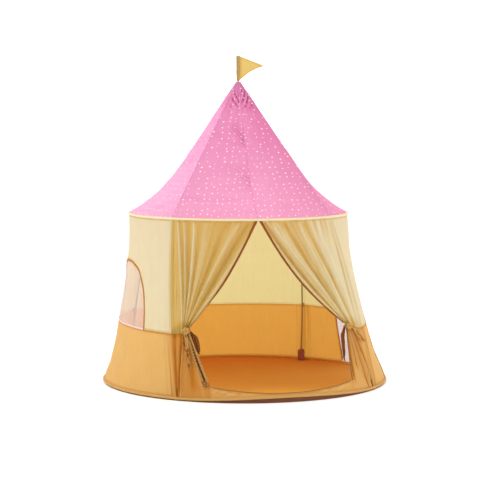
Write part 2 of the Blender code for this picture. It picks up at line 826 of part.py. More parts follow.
def make_curtain(side, upper, lower, tape, ribbon):
    curtain = Curtain(side)
    columns = curtain_flat_columns + fold_count * columns_per_fold
    start = curtain_flat_columns / columns

    def share_across(across):
        """Puts the grid's first columns in the flat part and the others evenly over the folds."""
        if across < start:
            return flat_share * across / start
        return between(flat_share, 1, (across - start) / (1 - start))

    cloth(f"curtain_{side}_upper", upper, columns, curtain_rows,
          lambda across, down, depth: curtain.upper(share_across(across), down, depth), cloth_thickness)
    cloth(f"curtain_{side}_lower", lower, columns, lower_rows,
          lambda across, down, depth: curtain.lower(share_across(across), down, depth), cloth_thickness)
    edge = cloth(f"curtain_{side}_edge", tape, 1, curtain_rows - 1,
                 lambda across, share, depth: curtain.front_edge(share, across * edge_width, depth), edge_thickness)
    set_origin(edge, curtain.pivot())
    make_corner(curtain, tape)
    make_tie(curtain, ribbon)


def waist_frame(curtain):
    """Middle of the tied waist, with its sideways and outward directions."""
    def waist_point(turn):
        angle = curtain.tie_degrees + turn * curtain.half_waist
        return wall_point(curtain.sign * angle, curtain.tie_height, cloth_thickness / 2)
    doorward = (waist_point(-1) - waist_point(1)).normalized()
    outward = Vector((doorward.y, -doorward.x, 0)) * -curtain.sign
    return waist_point(0), outward, doorward


def hanging_point(curtain, doorward, height, depth):
    """A point below the tie that follows the slope of the cloth, a length towards the door's middle."""
    angle = curtain.tie_degrees - degrees_across(doorward, wall_radius(curtain.tie_degrees, height))
    return wall_point(curtain.sign * angle, height, depth)


def band_sizes():
    """Half width and half depth of the room inside a tie's band."""
    return waist_width / 2 + band_room, waist_fold + cloth_thickness / 2 + band_room


def make_tie(curtain, material):
    """A ribbon wrapped round the waist, open towards the pole, with a knot and a hanging tail in front."""
    middle, outward, doorward = waist_frame(curtain)
    half_width, half_depth = band_sizes()
    mouth = math.radians(band_mouth_degrees / 2)
    turns = [between(mouth - math.pi, math.pi - mouth, step / round_sides) for step in range(round_sides + 1)]
    angle = curtain.sign * curtain.tie_degrees
    low = wall_point(angle, curtain.tie_height - band_height / 2, cloth_thickness / 2)
    high = wall_point(angle, curtain.tie_height + band_height / 2, cloth_thickness / 2)

    def around(grow, turn):
        return (low + doorward * (half_width + grow) * math.cos(turn)
                + outward * (half_depth + grow) * math.sin(turn))
    outline = [around(band_thickness, turn) for turn in turns] + [around(0, turn) for turn in reversed(turns)]
    tie = prism(f"tie_{curtain.side}", material, outline, high - low)

    front = middle + outward * (half_depth + band_thickness)
    steps = [math.pi * step / knot_divisions for step in range(knot_divisions + 1)]
    ball = [(knot_radius * math.sin(turn), -knot_radius * math.cos(turn)) for turn in steps]
    squash = Matrix.Diagonal((1, knot_depth / knot_radius, 1, 1))
    facing = Matrix((
        (-doorward.x, -outward.x, 0, 0),
        (-doorward.y, -outward.y, 0, 0),
        (0, 0, 1, 0),
        (0, 0, 0, 1),
    ))
    seat = Matrix.Translation(front + outward * (knot_depth - band_thickness / 2))
    knot = turned(f"knot_{curtain.side}", material, ball, round_sides, seat @ facing @ squash)
    combine(tie, knot, "UNION")

    stand_off = half_depth + band_thickness + knot_depth

    def tail(across, down, depth):
        drop = curtain.tail_length * down
        sway = between(0, curtain.tail_sway, down)
        width = tail_width * between(tail_neck_share, 1, smooth(down / tail_spread_share))
        return hanging_point(curtain, width * (across - 1 / 2) - sway, curtain.tie_height - drop, depth - stand_off)
    ribbon = cloth(f"tail_{curtain.side}", material, tail_columns, tail_rows, tail, tail_thickness)
    combine(tie, ribbon, "UNION")


def make_corner(curtain, material):
    """The curtain's loose bound corner, which hangs behind the tie and turns with the front edge."""
    behind = cloth_thickness / 2 + band_sizes()[1] + band_thickness + 2 * clearance

    def lobe(across, down, depth):
        drop = curtain.corner_length * down
        width = corner_width * between(corner_neck_share, 1, math.sin(math.pi * down))
        curl = corner_curl * (1 + math.cos(math.tau * across)) * down
        beside = corner_start + corner_sway * down + width * (across - 1 / 2)
        return hanging_point(curtain, beside, curtain.tie_height - drop, behind + depth + curl)
    corner = cloth(f"curtain_{curtain.side}_corner", material, corner_columns, corner_rows, lobe, corner_thickness)
    set_origin(corner, corner_pivot(curtain))


def corner_pivot(curtain):
    """Where the loose corner hangs from the front edge, just above the tie."""
    return curtain.front_edge(1, edge_width / 2, edge_thickness / 2)


def main():
    clear_objects()
    upper = finish("yellow_cotton", yellow, 0.85)
    lower = finish("orange_cotton", orange, 0.85)
    ground = finish("floor_cotton", deep_orange, 0.85)
    roof = finish("pink_cotton", pink, 0.8)
    tape = finish("brown_binding", brown, 0.8)
    window_tape = finish("orange_binding", tan, 0.8)
    net = finish("pale_netting", net_pink, 0.7)
    boot = finish("boot_cloth", boot_pink, 0.85)
    fibre = finish("fibreglass", rod_grey, 0.45)
    metal = finish("ferrule_metal", steel_grey, 0.35, 1.0)
    plastic = finish("moulded_plastic", moulded_black, 0.5)
    make_hoops(metal, lower, upper)
    make_floor(ground)
    make_walls(upper, lower, net, window_tape)
    make_roof(roof)
    make_poles(fibre, metal, boot, lower)
    make_crown_hub(plastic)
    make_flag(fibre, upper, upper)
    make_sill(lower, tape)
    for side in ("left", "right"):
        make_curtain(side, upper, lower, tape, window_tape)


main()
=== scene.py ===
"""Looks of a round play tent for a child: its cloth, netting, ribbons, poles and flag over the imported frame.

Metres, +Z up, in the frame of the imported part. The door faces -Y. An angle round the tent is in degrees from
the door towards +X, and is counted at the base hoop.
"""

import json
from math import atan2, copysign, cos, degrees, exp, hypot, pi, radians, sin, tau

import bmesh
import bpy
from mathutils import Matrix, Vector, noise


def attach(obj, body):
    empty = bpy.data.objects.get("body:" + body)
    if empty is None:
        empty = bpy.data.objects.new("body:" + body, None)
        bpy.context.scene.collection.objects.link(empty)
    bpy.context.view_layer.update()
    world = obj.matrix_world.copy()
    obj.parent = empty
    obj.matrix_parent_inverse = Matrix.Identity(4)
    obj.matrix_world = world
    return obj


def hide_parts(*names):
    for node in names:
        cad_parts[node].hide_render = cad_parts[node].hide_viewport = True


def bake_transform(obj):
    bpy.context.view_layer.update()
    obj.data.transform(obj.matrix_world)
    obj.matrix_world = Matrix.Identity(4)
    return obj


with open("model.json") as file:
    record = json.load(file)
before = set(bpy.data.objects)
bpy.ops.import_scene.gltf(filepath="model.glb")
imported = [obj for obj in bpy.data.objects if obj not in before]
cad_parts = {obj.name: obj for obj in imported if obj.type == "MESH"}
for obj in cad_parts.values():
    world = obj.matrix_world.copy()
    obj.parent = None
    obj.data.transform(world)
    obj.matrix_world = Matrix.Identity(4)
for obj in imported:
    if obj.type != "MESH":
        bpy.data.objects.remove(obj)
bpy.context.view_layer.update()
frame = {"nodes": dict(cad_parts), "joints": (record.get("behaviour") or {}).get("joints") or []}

# Base hoop and its piping
# A ring of spring steel inside a tube of folded orange cotton tape, which is closed with one row of stitches
# round the foot of the walls. The walls hold it just off the ground, and highest in the middle of the door.
base_radius = 0.6
eaves_height = 0.712
canopy_turn = -7.84
canopy_shift = Vector((-0.0267, 0.0086, 0))
pole_pitch = 90
half_pitch = pole_pitch / 2
piping_radius = 0.005
hoop_rest = 0.004
door_lift = 0.014
pole_swell = 0.7
spring_steel_colour = "#8A8D90"
orange_tape_colour = "#DDB670"
orange_tape_deep = "#B07A2C"


def between(start, end, share):
    return start + (end - start) * share


def smooth(share):
    """0 to 1, with level ends."""
    share = min(max(share, 0), 1)
    return share * share * (3 - 2 * share)


def bell(offset, width):
    """1 at an offset of 0, and less on both sides of it."""
    return exp(-(offset / width) ** 2)


def noise_at(x, y, z):
    return noise.noise(Vector((x, y, z)))


def degrees_across(length, radius):
    return degrees(length / radius)


def from_door(angle):
    """The same angle, counted from -180 to 180."""
    return (angle + 180) % 360 - 180


def around(angle, radius, height=0.0):
    turn = radians(angle)
    return Vector((radius * sin(turn), -radius * cos(turn), height))


def place(angle, height, radius):
    """A point of the tent, whose canopy is turned and shifted on its base as it was set up."""
    rise = min(max(height / eaves_height, 0), 1)
    return around(angle + canopy_turn * rise, radius, height) + canopy_shift * rise


def hoop_height(angle):
    lift = 0
    if abs(from_door(angle)) < half_pitch:
        lift = door_lift * (1 + cos(radians(4 * from_door(angle)))) / 2
    return hoop_rest + piping_radius + lift


def linear(code, strength=1.0):
    """An sRGB hex colour as linear light, with an alpha of 1."""
    parts = [int(code[start:start + 2], 16) / 255 for start in (1, 3, 5)]
    light = [part / 12.92 if part <= 0.04045 else ((part + 0.055) / 1.055) ** 2.4 for part in parts]
    return (*[part * strength for part in light], 1.0)


def add_node(tree, kind, inputs, **settings):
    """Adds one shader node. An input is a number, a colour, or the output that feeds it."""
    node = tree.nodes.new("ShaderNode" + kind)
    for name, value in settings.items():
        setattr(node, name, value)
    for name, value in inputs.items():
        if isinstance(value, bpy.types.NodeSocket):
            tree.links.new(value, node.inputs[name])
        else:
            node.inputs[name].default_value = value
    return node.outputs


def new_material(name):
    """An empty node material, with its tree and its output node."""
    made = bpy.data.materials.new(name)
    made.use_nodes = True
    made.node_tree.nodes.clear()
    return made, made.node_tree, made.node_tree.nodes.new("ShaderNodeOutputMaterial")


def metal(name, colour, roughness, grain):
    """Drawn or plated metal, with a fine mottle that breaks its shine up softly."""
    made, tree, output = new_material(name)
    where = add_node(tree, "TexCoord", {})["Object"]
    mottle = add_node(tree, "TexNoise", {"Vector": where, "Scale": 1 / grain, "Detail": 4.0})[0]
    tint = add_node(tree, "Mix", {0: mottle, 6: linear(colour, 0.8), 7: linear(colour)}, data_type="RGBA")[2]
    dull = add_node(tree, "MapRange", {
        "Value": mottle, "To Min": roughness - 0.08, "To Max": roughness + 0.1})[0]
    bump = add_node(tree, "Bump", {"Height": mottle, "Strength": 0.3, "Distance": 0.0002})[0]
    surface = add_node(tree, "BsdfPrincipled", {
        "Base Color": tint, "Metallic": 1.0, "Roughness": dull, "Normal": bump})[0]
    tree.links.new(surface, output.inputs["Surface"])
    return made


def cotton(name, colour, deep, through, glow, thread=0.0014, crinkle=0.0025, stitch="#B98A4A", dots=False,
           hem_width=0.009, hem_depth=0.28):
    """Plain woven cotton, dyed in the piece. It is matt with a faint sheen, looks deeper where it lies double
    at its hems, is painted deeper in the bottom of a fold as painted shade, and lets part of the light
    through.
    Real threads are 0.4 mm apart, too fine to show, so they are drawn 1.4 mm apart. hem and hollow come with
    each cut; hollow says how deep the colour is painted, mostly as painted shade."""
    made, tree, output = new_material(name)
    cut = add_node(tree, "UVMap", {}, uv_map="cut")["UV"]
    hem = add_node(tree, "Attribute", {}, attribute_name="hem")["Fac"]
    hollow = add_node(tree, "Attribute", {}, attribute_name="hollow")["Fac"]
    # Warp and weft
    wave_scale = tau / 20 / thread
    warp = add_node(tree, "TexWave", {"Vector": cut, "Scale": wave_scale}, bands_direction="X")["Fac"]
    weft = add_node(tree, "TexWave", {"Vector": cut, "Scale": wave_scale}, bands_direction="Y")["Fac"]
    weave = add_node(tree, "Math", {0: warp, 1: weft}, operation="MULTIPLY")[0]
    # Soft upright crinkles about 15 mm wide, and uneven dye about 60 mm wide
    tall = add_node(tree, "Mapping", {"Vector": cut, "Scale": (1 / 0.016, 1 / 0.075, 1)})[0]
    crinkles = add_node(tree, "TexNoise", {"Vector": tall, "Scale": 1.0, "Detail": 2.0},
                        noise_dimensions="2D")[0]
    dye = add_node(tree, "TexNoise", {"Vector": cut, "Scale": 1 / 0.06, "Detail": 3.0},
                   noise_dimensions="2D")[0]
    # Doubled cloth beside a hem, with a row of stitches along it
    doubled = add_node(tree, "MapRange", {
        "Value": hem, "From Min": hem_width * 0.9, "From Max": hem_width * 1.05,
        "To Min": hem_depth, "To Max": 0.0})[0]
    off_row = add_node(tree, "Math", {0: hem, 1: hem_width * 0.67, 2: 0.0008}, operation="COMPARE")[0]
    along = add_node(tree, "VectorMath", {0: cut, 1: (1, 1, 0)}, operation="DOT_PRODUCT")["Value"]
    dash = add_node(tree, "Math", {0: along, 1: 0.0045}, operation="PINGPONG")[0]
    on_dash = add_node(tree, "Math", {0: dash, 1: 0.0014}, operation="GREATER_THAN")[0]
    stitched = add_node(tree, "Math", {0: off_row, 1: on_dash}, operation="MULTIPLY")[0]
    # A hollow of 0 to 1 goes from the cloth's colour to its deep one, and 1 to 2 on to near dark: painted
    # shade,
    #     # in the light that the cloth reflects and in the light that it lets through
    patchy = add_node(tree, "MapRange", {"Value": dye, "From Min": 0.3, "From Max": 0.7,
                                         "To Min": 0.0, "To Max": 0.07})[0]
    deeper = add_node(tree, "Math", {0: hollow, 1: doubled}, operation="MAXIMUM")[0]
    deeper = add_node(tree, "Math", {0: deeper, 1: patchy}, operation="ADD", use_clamp=True)[0]
    behind = add_node(tree, "Math", {0: hollow, 1: 1.0}, operation="SUBTRACT", use_clamp=True)[0]
    tint = add_node(tree, "Mix", {0: deeper, 6: linear(colour), 7: linear(deep)}, data_type="RGBA")[2]
    tint = add_node(tree, "Mix", {0: behind, 6: tint, 7: linear(deep, 0.3)}, data_type="RGBA")[2]
    shade = add_node(tree, "Mix", {0: deeper, 6: linear(through), 7: linear(through, 0.8)},
                     data_type="RGBA")[2]
    shade = add_node(tree, "Mix", {0: behind, 6: shade, 7: linear(through, 0.1)}, data_type="RGBA")[2]
    if dots:
        printed = dot_print(tree, cut)
        tint = add_node(tree, "Mix", {0: printed, 6: tint, 7: linear("#FFFFFF")}, data_type="RGBA")[2]
        shade = add_node(tree, "Mix", {0: printed, 6: shade, 7: linear("#FFFFFF")}, data_type="RGBA")[2]
    if stitch:
        tint = add_node(tree, "Mix", {0: stitched, 6: tint, 7: linear(stitch)}, data_type="RGBA")[2]
    bump = add_node(tree, "Bump", {"Height": crinkles, "Strength": 1.0, "Distance": crinkle})[0]
    bump = add_node(tree, "Bump", {"Height": weave, "Strength": 0.35, "Distance": 0.0003, "Normal": bump})[0]
    face = add_node(tree, "BsdfPrincipled", {
        "Base Color": tint, "Roughness": 0.88, "Specular IOR Level": 0.2, "Sheen Weight": 0.04,
        "Sheen Roughness": 0.5, "Normal": bump})[0]
    back = add_node(tree, "BsdfTranslucent", {"Color": shade, "Normal": bump})[0]
    surface = add_node(tree, "MixShader", {0: glow, 1: face, 2: back})[0]
    tree.links.new(surface, output.inputs["Surface"])
    return made


def strip(wide, tall, middle=0.0):
    """The flat places of a plain strip, with its foot or its middle at 0."""
    return lambda across, up: (wide * (across - 0.5), tall * (up - middle))


def cut_cloth(name, columns, rows, flat, point, hollow=None, slip=0.0, tube=False, hem_at=None):
    """A cut of cloth as a fine grid. flat(across, up) is a place on the flat cut in metres,
    and point(across, up) is the same place on the tent. slip moves the printed or woven pattern along."""
    mesh = bmesh.new()
    bmesh.ops.create_grid(mesh, x_segments=columns, y_segments=rows, size=0.5)
    cut = mesh.loops.layers.uv.new("cut")
    hem = mesh.verts.layers.float.new("hem")
    depth = mesh.verts.layers.float.new("hollow")
    spots = {}
    for corner in mesh.verts:
        across = corner.co.x + 0.5
        up = corner.co.y + 0.5
        wide, tall = flat(across, up)
        corner[hem] = min(abs(flat(1, up)[0] - wide), abs(wide - flat(0, up)[0]),
                          abs(flat(across, 1)[1] - tall), abs(tall - flat(across, 0)[1]))
        if tube:
            corner[hem] = abs(wide)
        if hem_at:
            corner[hem] = hem_at(across, up)
        if hollow:
            corner[depth] = hollow(across, up)
        spots[corner] = (wide + slip, tall + slip)
        corner.co = point(across, up)
    for face in mesh.faces:
        for loop in face.loops:
            loop[cut].uv = spots[loop.vert]
    bmesh.ops.remove_doubles(mesh, verts=mesh.verts, dist=0.00001)
    mesh.normal_update()
    outwards = sum(face.normal.x * face.calc_center_median().x + face.normal.y * face.calc_center_median().y
                   for face in mesh.faces)
    if tube:
        bmesh.ops.recalc_face_normals(mesh, faces=mesh.faces)
    elif outwards < 0:
        bmesh.ops.reverse_faces(mesh, faces=mesh.faces)
    return as_piece(name, mesh)


def as_piece(name, mesh):
    data = bpy.data.meshes.new(name)
    mesh.to_mesh(data)
    mesh.free()
    data.shade_smooth()
    piece = bpy.data.objects.new(name, data)
    bpy.context.scene.collection.objects.link(piece)
    return piece


def paint(piece, material):
    piece.data.materials.clear()
    piece.data.materials.append(material)


def dress(piece, material, nodes):
    """Gives a finished piece its material, and hides the nodes of the frame that it stands for."""
    paint(piece, material)
    if nodes:
        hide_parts(*nodes)


def wrapped_tape(name, radius, height_at):
    """A tube of tape round a hoop. The cloth is sewn into its inner side, and it swells over the poles."""
    def point(across, up):
        angle = 360 * up
        turn = tau * across
        swell = 0.3 * bell(abs(angle % pole_pitch - half_pitch), pole_swell)
        size = piping_radius * (1 + swell + 0.035 * noise_at(across * 3, angle * 0.45, radius))
        return place(angle, height_at(angle), radius - size * cos(turn)) + Vector((0, 0, size * sin(turn)))
    return cut_cloth(name, 16, 320, strip(tau * piping_radius, tau * radius), point, tube=True)


spring_steel = metal("spring_steel", spring_steel_colour, 0.38, 0.004)
orange_tape = cotton("orange_cotton_tape", orange_tape_colour, orange_tape_deep, "#FFB860", 0.2,
                     crinkle=0.0006)
base_tape = wrapped_tape("base_tape", base_radius, hoop_height)
dress(base_tape, orange_tape, ["base_piping"])
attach(base_tape, "tent")
for name in ("base_hoop", "eaves_hoop"):
    paint(frame["nodes"][name], spring_steel)

# Ground sheet
# A round sheet of burnt-orange coated cotton, sewn into the base piping all round. It lies on the ground with
# shallow ripples, and its last centimetre climbs to the hoop.
ground_colour = "#ECAE3A"
ground_deep = "#D0761A"
# Dark brown of the band under the hoop: painted shadow
underside_shadow_colour = "#7E4E38"
slope_width = 0.012
ripple_height = 0.0035


def ground_flat(across, up):
    turn = tau * across
    radius = base_radius * (1 - (1 - up) ** 1.7)
    return radius * sin(turn), -radius * cos(turn)


def ground_point(across, up):
    angle = 360 * across
    rim = base_radius - piping_radius
    radius = rim * (1 - (1 - up) ** 1.7)
    climb = smooth((radius - rim + slope_width) / slope_width)
    spot = around(angle, radius)
    ripple = ripple_height * max(noise.noise(spot * 9) + 0.4 * noise.noise(spot * 24), 0)
    return spot + Vector((0, 0, between(0.0008 + ripple, hoop_height(angle), climb)))


ground_cotton = cotton("coated_ground_cotton", ground_colour, ground_deep, "#E07A20", 0.05, crinkle=0.0006,
                       stitch="#8A4A14")
# The sheet's colour is painted deeper towards the back of the tent: painted light from the orange walls
ground_sheet = cut_cloth("ground_sheet", 180, 60, ground_flat, ground_point,
                         lambda across, up: 0.6 * smooth((ground_point(across, up).y + 0.2) / 0.7),
                         hem_at=lambda across, up: base_radius * (1 - up) ** 1.7)


def underside_point(across, up):
    """A narrow band from the piping down to the ground, just outside the sheet's climb. It stands for the
    sheet's side there, and its dark brown is painted shadow under the lifted hoop.
    """
    angle = 360 * across
    return around(angle, base_radius - 0.0005 - 0.002 * up, between(0.0004, hoop_height(angle), up))


underside_cotton = cotton("underside_in_painted_shadow", underside_shadow_colour, "#5E3624", "#6A3A24", 0.05,
                          crinkle=0.0006, stitch=None)
underside = cut_cloth("ground_sheet_underside", 240, 6, strip(tau * base_radius, 0.02), underside_point)


def declare(piece):
    """Works out the width and height of a sheet's cut, which its UV map holds in metres; nothing uses them."""
    spots = [item.vector for item in piece.data.uv_layers["cut"].uv]
    wide = max(spot.x for spot in spots) - min(spot.x for spot in spots)
    tall = max(spot.y for spot in spots) - min(spot.y for spot in spots)
    area = sum(face.area for face in piece.data.polygons)
    wide = max(wide, 1.002 * area / tall)


# The ground sheet's faces look up
if sum(face.normal.z for face in ground_sheet.data.polygons) < 0:
    ground_sheet.data.flip_normals()
dress(ground_sheet, ground_cotton, ["floor"])
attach(ground_sheet, "tent")
dress(underside, underside_cotton, [])
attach(underside, "tent")
declare(ground_sheet)

# Poles, ferrules and crown hub
# Four pultruded glass-fibre rods, each in two lengths that a bent nickel-plated tube joins at the eaves.
# Their upper ends push into a hub moulded in black nylon, and the flag's mast is a length of the same rod.
rod_colour = "#8B7460"
nickel_colour = "#B9B6AE"
nylon_colour = "#2B2A2C"


def glass_fibre(name, colour):
    """Resin-bound glass fibre: smooth and half glossy, with fine pale upright fibres 2 mm apart."""
    made, tree, output = new_material(name)
    where = add_node(tree, "TexCoord", {})["Object"]
    drawn = add_node(tree, "Mapping", {"Vector": where, "Scale": (1 / 0.002, 1 / 0.002, 1 / 0.05)})[0]
    fibres = add_node(tree, "TexNoise", {"Vector": drawn, "Scale": 1.0, "Detail": 3.0})[0]
    tint = add_node(tree, "Mix", {0: fibres, 6: linear(colour, 0.72), 7: linear(colour, 1.25)},
                    data_type="RGBA")[2]
    bump = add_node(tree, "Bump", {"Height": fibres, "Strength": 0.25, "Distance": 0.0002})[0]
    surface = add_node(tree, "BsdfPrincipled", {
        "Base Color": tint, "Roughness": 0.42, "IOR": 1.54, "Coat Weight": 0.2, "Coat Roughness": 0.25,
        "Normal": bump})[0]
    tree.links.new(surface, output.inputs["Surface"])
    return made


def moulded_nylon(name, colour):
    """Injection-moulded nylon with a spark-eroded grain of about 0.5 mm, drawn at 1 mm so that it shows."""
    made, tree, output = new_material(name)
    where = add_node(tree, "TexCoord", {})["Object"]
    grain = add_node(tree, "TexNoise", {"Vector": where, "Scale": 1 / 0.001, "Detail": 2.0})[0]
    worn = add_node(tree, "TexNoise", {"Vector": where, "Scale": 1 / 0.012, "Detail": 2.0})[0]
    tint = add_node(tree, "Mix", {0: worn, 6: linear(colour), 7: linear(colour, 1.7)}, data_type="RGBA")[2]
    bump = add_node(tree, "Bump", {"Height": grain, "Strength": 0.4, "Distance": 0.0002})[0]
    surface = add_node(tree, "BsdfPrincipled", {
        "Base Color": tint, "Roughness": 0.5, "IOR": 1.53, "Normal": bump})[0]
    tree.links.new(surface, output.inputs["Surface"])
    return made


rod_fibre = glass_fibre("glass_fibre_rod", rod_colour)
nickel = metal("nickel_plated_tube", nickel_colour, 0.28, 0.003)
nylon = moulded_nylon("black_nylon_hub", nylon_colour)
carried = {"mast": rod_fibre, "crown_hub": nylon}
for number in range(1, 5):
    carried[f"pole_lower_{number}"] = rod_fibre
    carried[f"pole_upper_{number}"] = rod_fibre
    carried[f"pole_ferrule_{number}"] = nickel
for name, material in carried.items():
    paint(frame["nodes"][name], material)

# Foot pockets
# A flat boot of dusty rose canvas on the ground sheet for the foot of each pole: one piece folded in two,
# sewn up its sides and under its foot, with clipped corners at its open top.
pocket_width = 0.031
pocket_height = 0.052
pocket_depth = 0.0145
pocket_corner = 0.008
canvas_colour = "#A86A5E"
canvas_deep = "#7E463C"
eaves_radius = 0.463
rod_radius = 0.003
ferrule_radius = 0.0045
pole_bow = 0.023
pole_foot_inset = 0.03


def pole_point(angle, height):
    """Axis of a pole below the eaves."""
    share = height / eaves_height
    top = eaves_radius - piping_radius - ferrule_radius - 0.0006
    radius = between(base_radius - pole_foot_inset, top, share) + pole_bow * sin(pi * share)
    return place(angle, height, radius)


canvas = cotton("rose_canvas", canvas_colour, canvas_deep, "#C08070", 0.08, thread=0.0016, crinkle=0.0008,
                stitch="#D8B0A0")
for number in range(1, 5):
    pole_angle = (number - 0.5) * pole_pitch
    foot = pole_point(pole_angle, pocket_height / 2)
    pocket_out = around(pole_angle, 1)
    pocket_side = Vector((-pocket_out.y, pocket_out.x, 0))

    def boot_point(across, up):
        """Round the boot with across, from the middle of its seam, and from its foot to its mouth with up."""
        turn = tau * across
        side = copysign(abs(cos(turn)) ** 0.5, cos(turn)) * pocket_width / 2
        sunk = 1 - 0.25 * sin(pi * min(up * 1.3, 1))
        deep = copysign(abs(sin(turn)) ** 0.55, sin(turn)) * pocket_depth / 2 * sunk
        top = pocket_height - pocket_corner * smooth(
            (abs(side) - pocket_width / 2 + pocket_corner) / pocket_corner)
        foot_share = smooth(up / 0.08)
        crease = 0.0007 * noise_at(across * 5, up * 4, number)
        return (Vector((foot.x, foot.y, 0.0016 + (top - 0.0002) * up))
                + pocket_side * side * between(0.9, 1, foot_share)
                + pocket_out * (deep + crease) * between(0.6, 1, foot_share))

    boot = cut_cloth(f"pole_boot_{number}", 48, 24, strip(2 * (pocket_width + pocket_depth / 2),
                                                          pocket_height), boot_point, tube=True)
    shell = bmesh.new()
    shell.from_mesh(boot.data)
    low_rim = [edge for edge in shell.edges if edge.is_boundary and edge.verts[0].co.z < 0.01]
    bmesh.ops.holes_fill(shell, edges=low_rim)
    bmesh.ops.recalc_face_normals(shell, faces=shell.faces)
    shell.to_mesh(boot.data)
    shell.free()
    dress(boot, canvas, [f"foot_pocket_{number}"])
    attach(boot, "tent")

# Ribbon loops
# A short orange cotton ribbon round each pole at the colour seam, with both ends sewn into the wall's corner
# seam, so that the walls follow the poles.
loop_height = 0.018
loop_thickness = 0.0012
seam_height = 0.26
corner_pull = 0.003
seam_bow = 0.018
wall_hollow_power = 1.85


def corner_share(angle):
    """0 midway between two poles and 1 on a pole line."""
    return 1 - abs((angle % pole_pitch) / half_pitch - 1)


def wall_radius(angle, height):
    """Face of the walls: hollow between the poles, and bowed out along them."""
    low = hoop_height(angle)
    share = min(max((height - low) / (eaves_height - low), 0), 1)
    middle = between(eaves_radius, base_radius, (1 - share) ** wall_hollow_power)
    corner = between(base_radius - corner_pull, eaves_radius, share) + seam_bow * sin(pi * share)
    return between(middle, corner, corner_share(angle) ** 2)


def wall_point(angle, height, depth=0.0):
    return place(angle, height, wall_radius(angle, height) - depth)


for number in range(1, 5):
    pole_angle = (number - 0.5) * pole_pitch
    loop_middle = pole_point(pole_angle, seam_height)
    loop_along = (pole_point(pole_angle, seam_height + loop_height) - loop_middle).normalized()
    loop_out = wall_point(pole_angle, seam_height, 0.0012) - loop_middle
    loop_out -= loop_along * loop_out.dot(loop_along)
    loop_reach = loop_out.length
    loop_out.normalize()
    loop_side = loop_along.cross(loop_out)
    loop_round = rod_radius + 0.0003 + loop_thickness / 2
    bend = pi * loop_round

    def loop_point(across, up):
        """Out along one side of the pole, round behind it and back along the other side."""
        travel = (bend + 2 * loop_reach) * across
        rise = loop_along * loop_height * (up - 0.5)
        if travel < loop_reach:
            return loop_middle + rise + loop_out * (loop_reach - travel) + loop_side * loop_round
        if travel > loop_reach + bend:
            return loop_middle + rise + loop_out * (travel - loop_reach - bend) - loop_side * loop_round
        turn = (travel - loop_reach) / loop_round
        return (loop_middle + rise + loop_side * loop_round * cos(turn)
                - loop_out * loop_round * sin(turn))

    loop = cut_cloth(f"ribbon_loop_{number}", 40, 6, strip(bend + 2 * loop_reach, loop_height), loop_point)
    dress(loop, orange_tape, [f"pole_loop_{number}"])
    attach(loop, "tent")

# Walls
# Three wall panels of thin cotton, butter yellow over golden orange, joined by a felled seam at knee height
# and sewn to each other down the pole lines. They hang a little slack, with soft upright folds.
window_top = 0.52
window_curve_power = 2.9
window_left_degrees = 27.3
window_right_degrees = 24.0
# Share of a panel's columns that end on the arch, and the mean radius that a wall's width is measured at
arch_share = 0.56
wall_cut_radius = 0.53
yellow_colour = "#D6D5B8"
yellow_deep = "#CCAA56"
yellow_through = "#FAF0A2"
orange_colour = "#D8B972"
orange_deep = "#BC7A22"
orange_through = "#F0B048"
wall_glow = 0.36
fold_height = 0.0042
tuck = 0.6 * piping_radius


def slack(angle, height):
    """Depth of the soft folds in the walls, the same on both sides of a seam."""
    along = radians(angle) * eaves_radius
    from_pole = (1 - corner_share(angle)) * radians(half_pitch) * eaves_radius
    from_hoops = min(height - hoop_height(angle), eaves_height - height)
    keep = smooth(from_pole / 0.06) * smooth(from_hoops / 0.1)
    folds = noise_at(along * 13, height * 2.0, 3.1) + 0.45 * noise_at(along * 34, height * 4.0, 7.7)
    creases = noise_at((along + height) * 26, (height - along) * 6, 11.3)
    low = smooth(1 - height / 0.2) * smooth(from_hoops / 0.02)
    pucker = noise_at(along * 75, 0, 5.5) * exp(-abs(height - seam_height) / 0.016)
    gather = noise_at(along * 60, height * 6, 9.9) * exp(-(eaves_height - height) / 0.045)
    # The right wall hangs further in as a whole, and so does the left one's lower cloth
    right_side = 0.013 * bell(angle - 78, 26) * smooth((height - 0.04) / 0.12) * smooth(
        (eaves_height - height) / 0.25)
    left_side = 0.007 * bell(angle + 104, 24) * smooth((height - 0.02) / 0.08) * smooth(
        (0.32 - height) / 0.16)
    return (fold_height * keep * folds + 0.0022 * creases * low * smooth(from_pole / 0.03) + 0.0016 * pucker
            + 0.0018 * gather * smooth(from_hoops / 0.01) - 0.0008 * bell(height - seam_height, 0.004)
            + (right_side + left_side) * smooth(from_pole / 0.1))


def arch(half_degrees, turn, grow=0.0):
    """Outline of a window's arch as an angle from its middle and a height, for a turn from 0 to pi."""
    half = half_degrees + degrees_across(grow, base_radius)
    round_off = 2 / window_curve_power
    level = abs(cos(turn)) ** round_off * copysign(1, cos(turn))
    return half * level, seam_height + (window_top - seam_height + grow) * sin(turn) ** round_off


def panel_column(across, window):
    """Angle of an upper panel's column from the panel's middle, and the height of its lower edge."""
    if not window:
        return (2 * across - 1) * half_pitch, seam_height
    side = (1 - arch_share) / 2
    if across < side:
        return between(-half_pitch, -window, across / side), seam_height
    if across > 1 - side:
        return between(window, half_pitch, (across - 1 + side) / side), seam_height
    return arch(window, pi * (1 - (across - side) / (1 - 2 * side)))


def wall_depth(angle, height):
    """Deeper colour in the felled seam, and painted shade of creases in patches beside the poles below it."""
    from_pole = (1 - corner_share(angle)) * radians(half_pitch) * base_radius
    crease = smooth(0.4 + 1.6 * noise_at(from_pole * 150, height * 3, angle))
    low = smooth((seam_height - height) / 0.01)
    return (1.2 * smooth((0.004 - abs(height - seam_height + 0.002)) / 0.002)
            + 0.9 * crease * smooth((0.05 - from_pole) / 0.03) * low)


def wall_foot(angle):
    return hoop_height(angle) + tuck


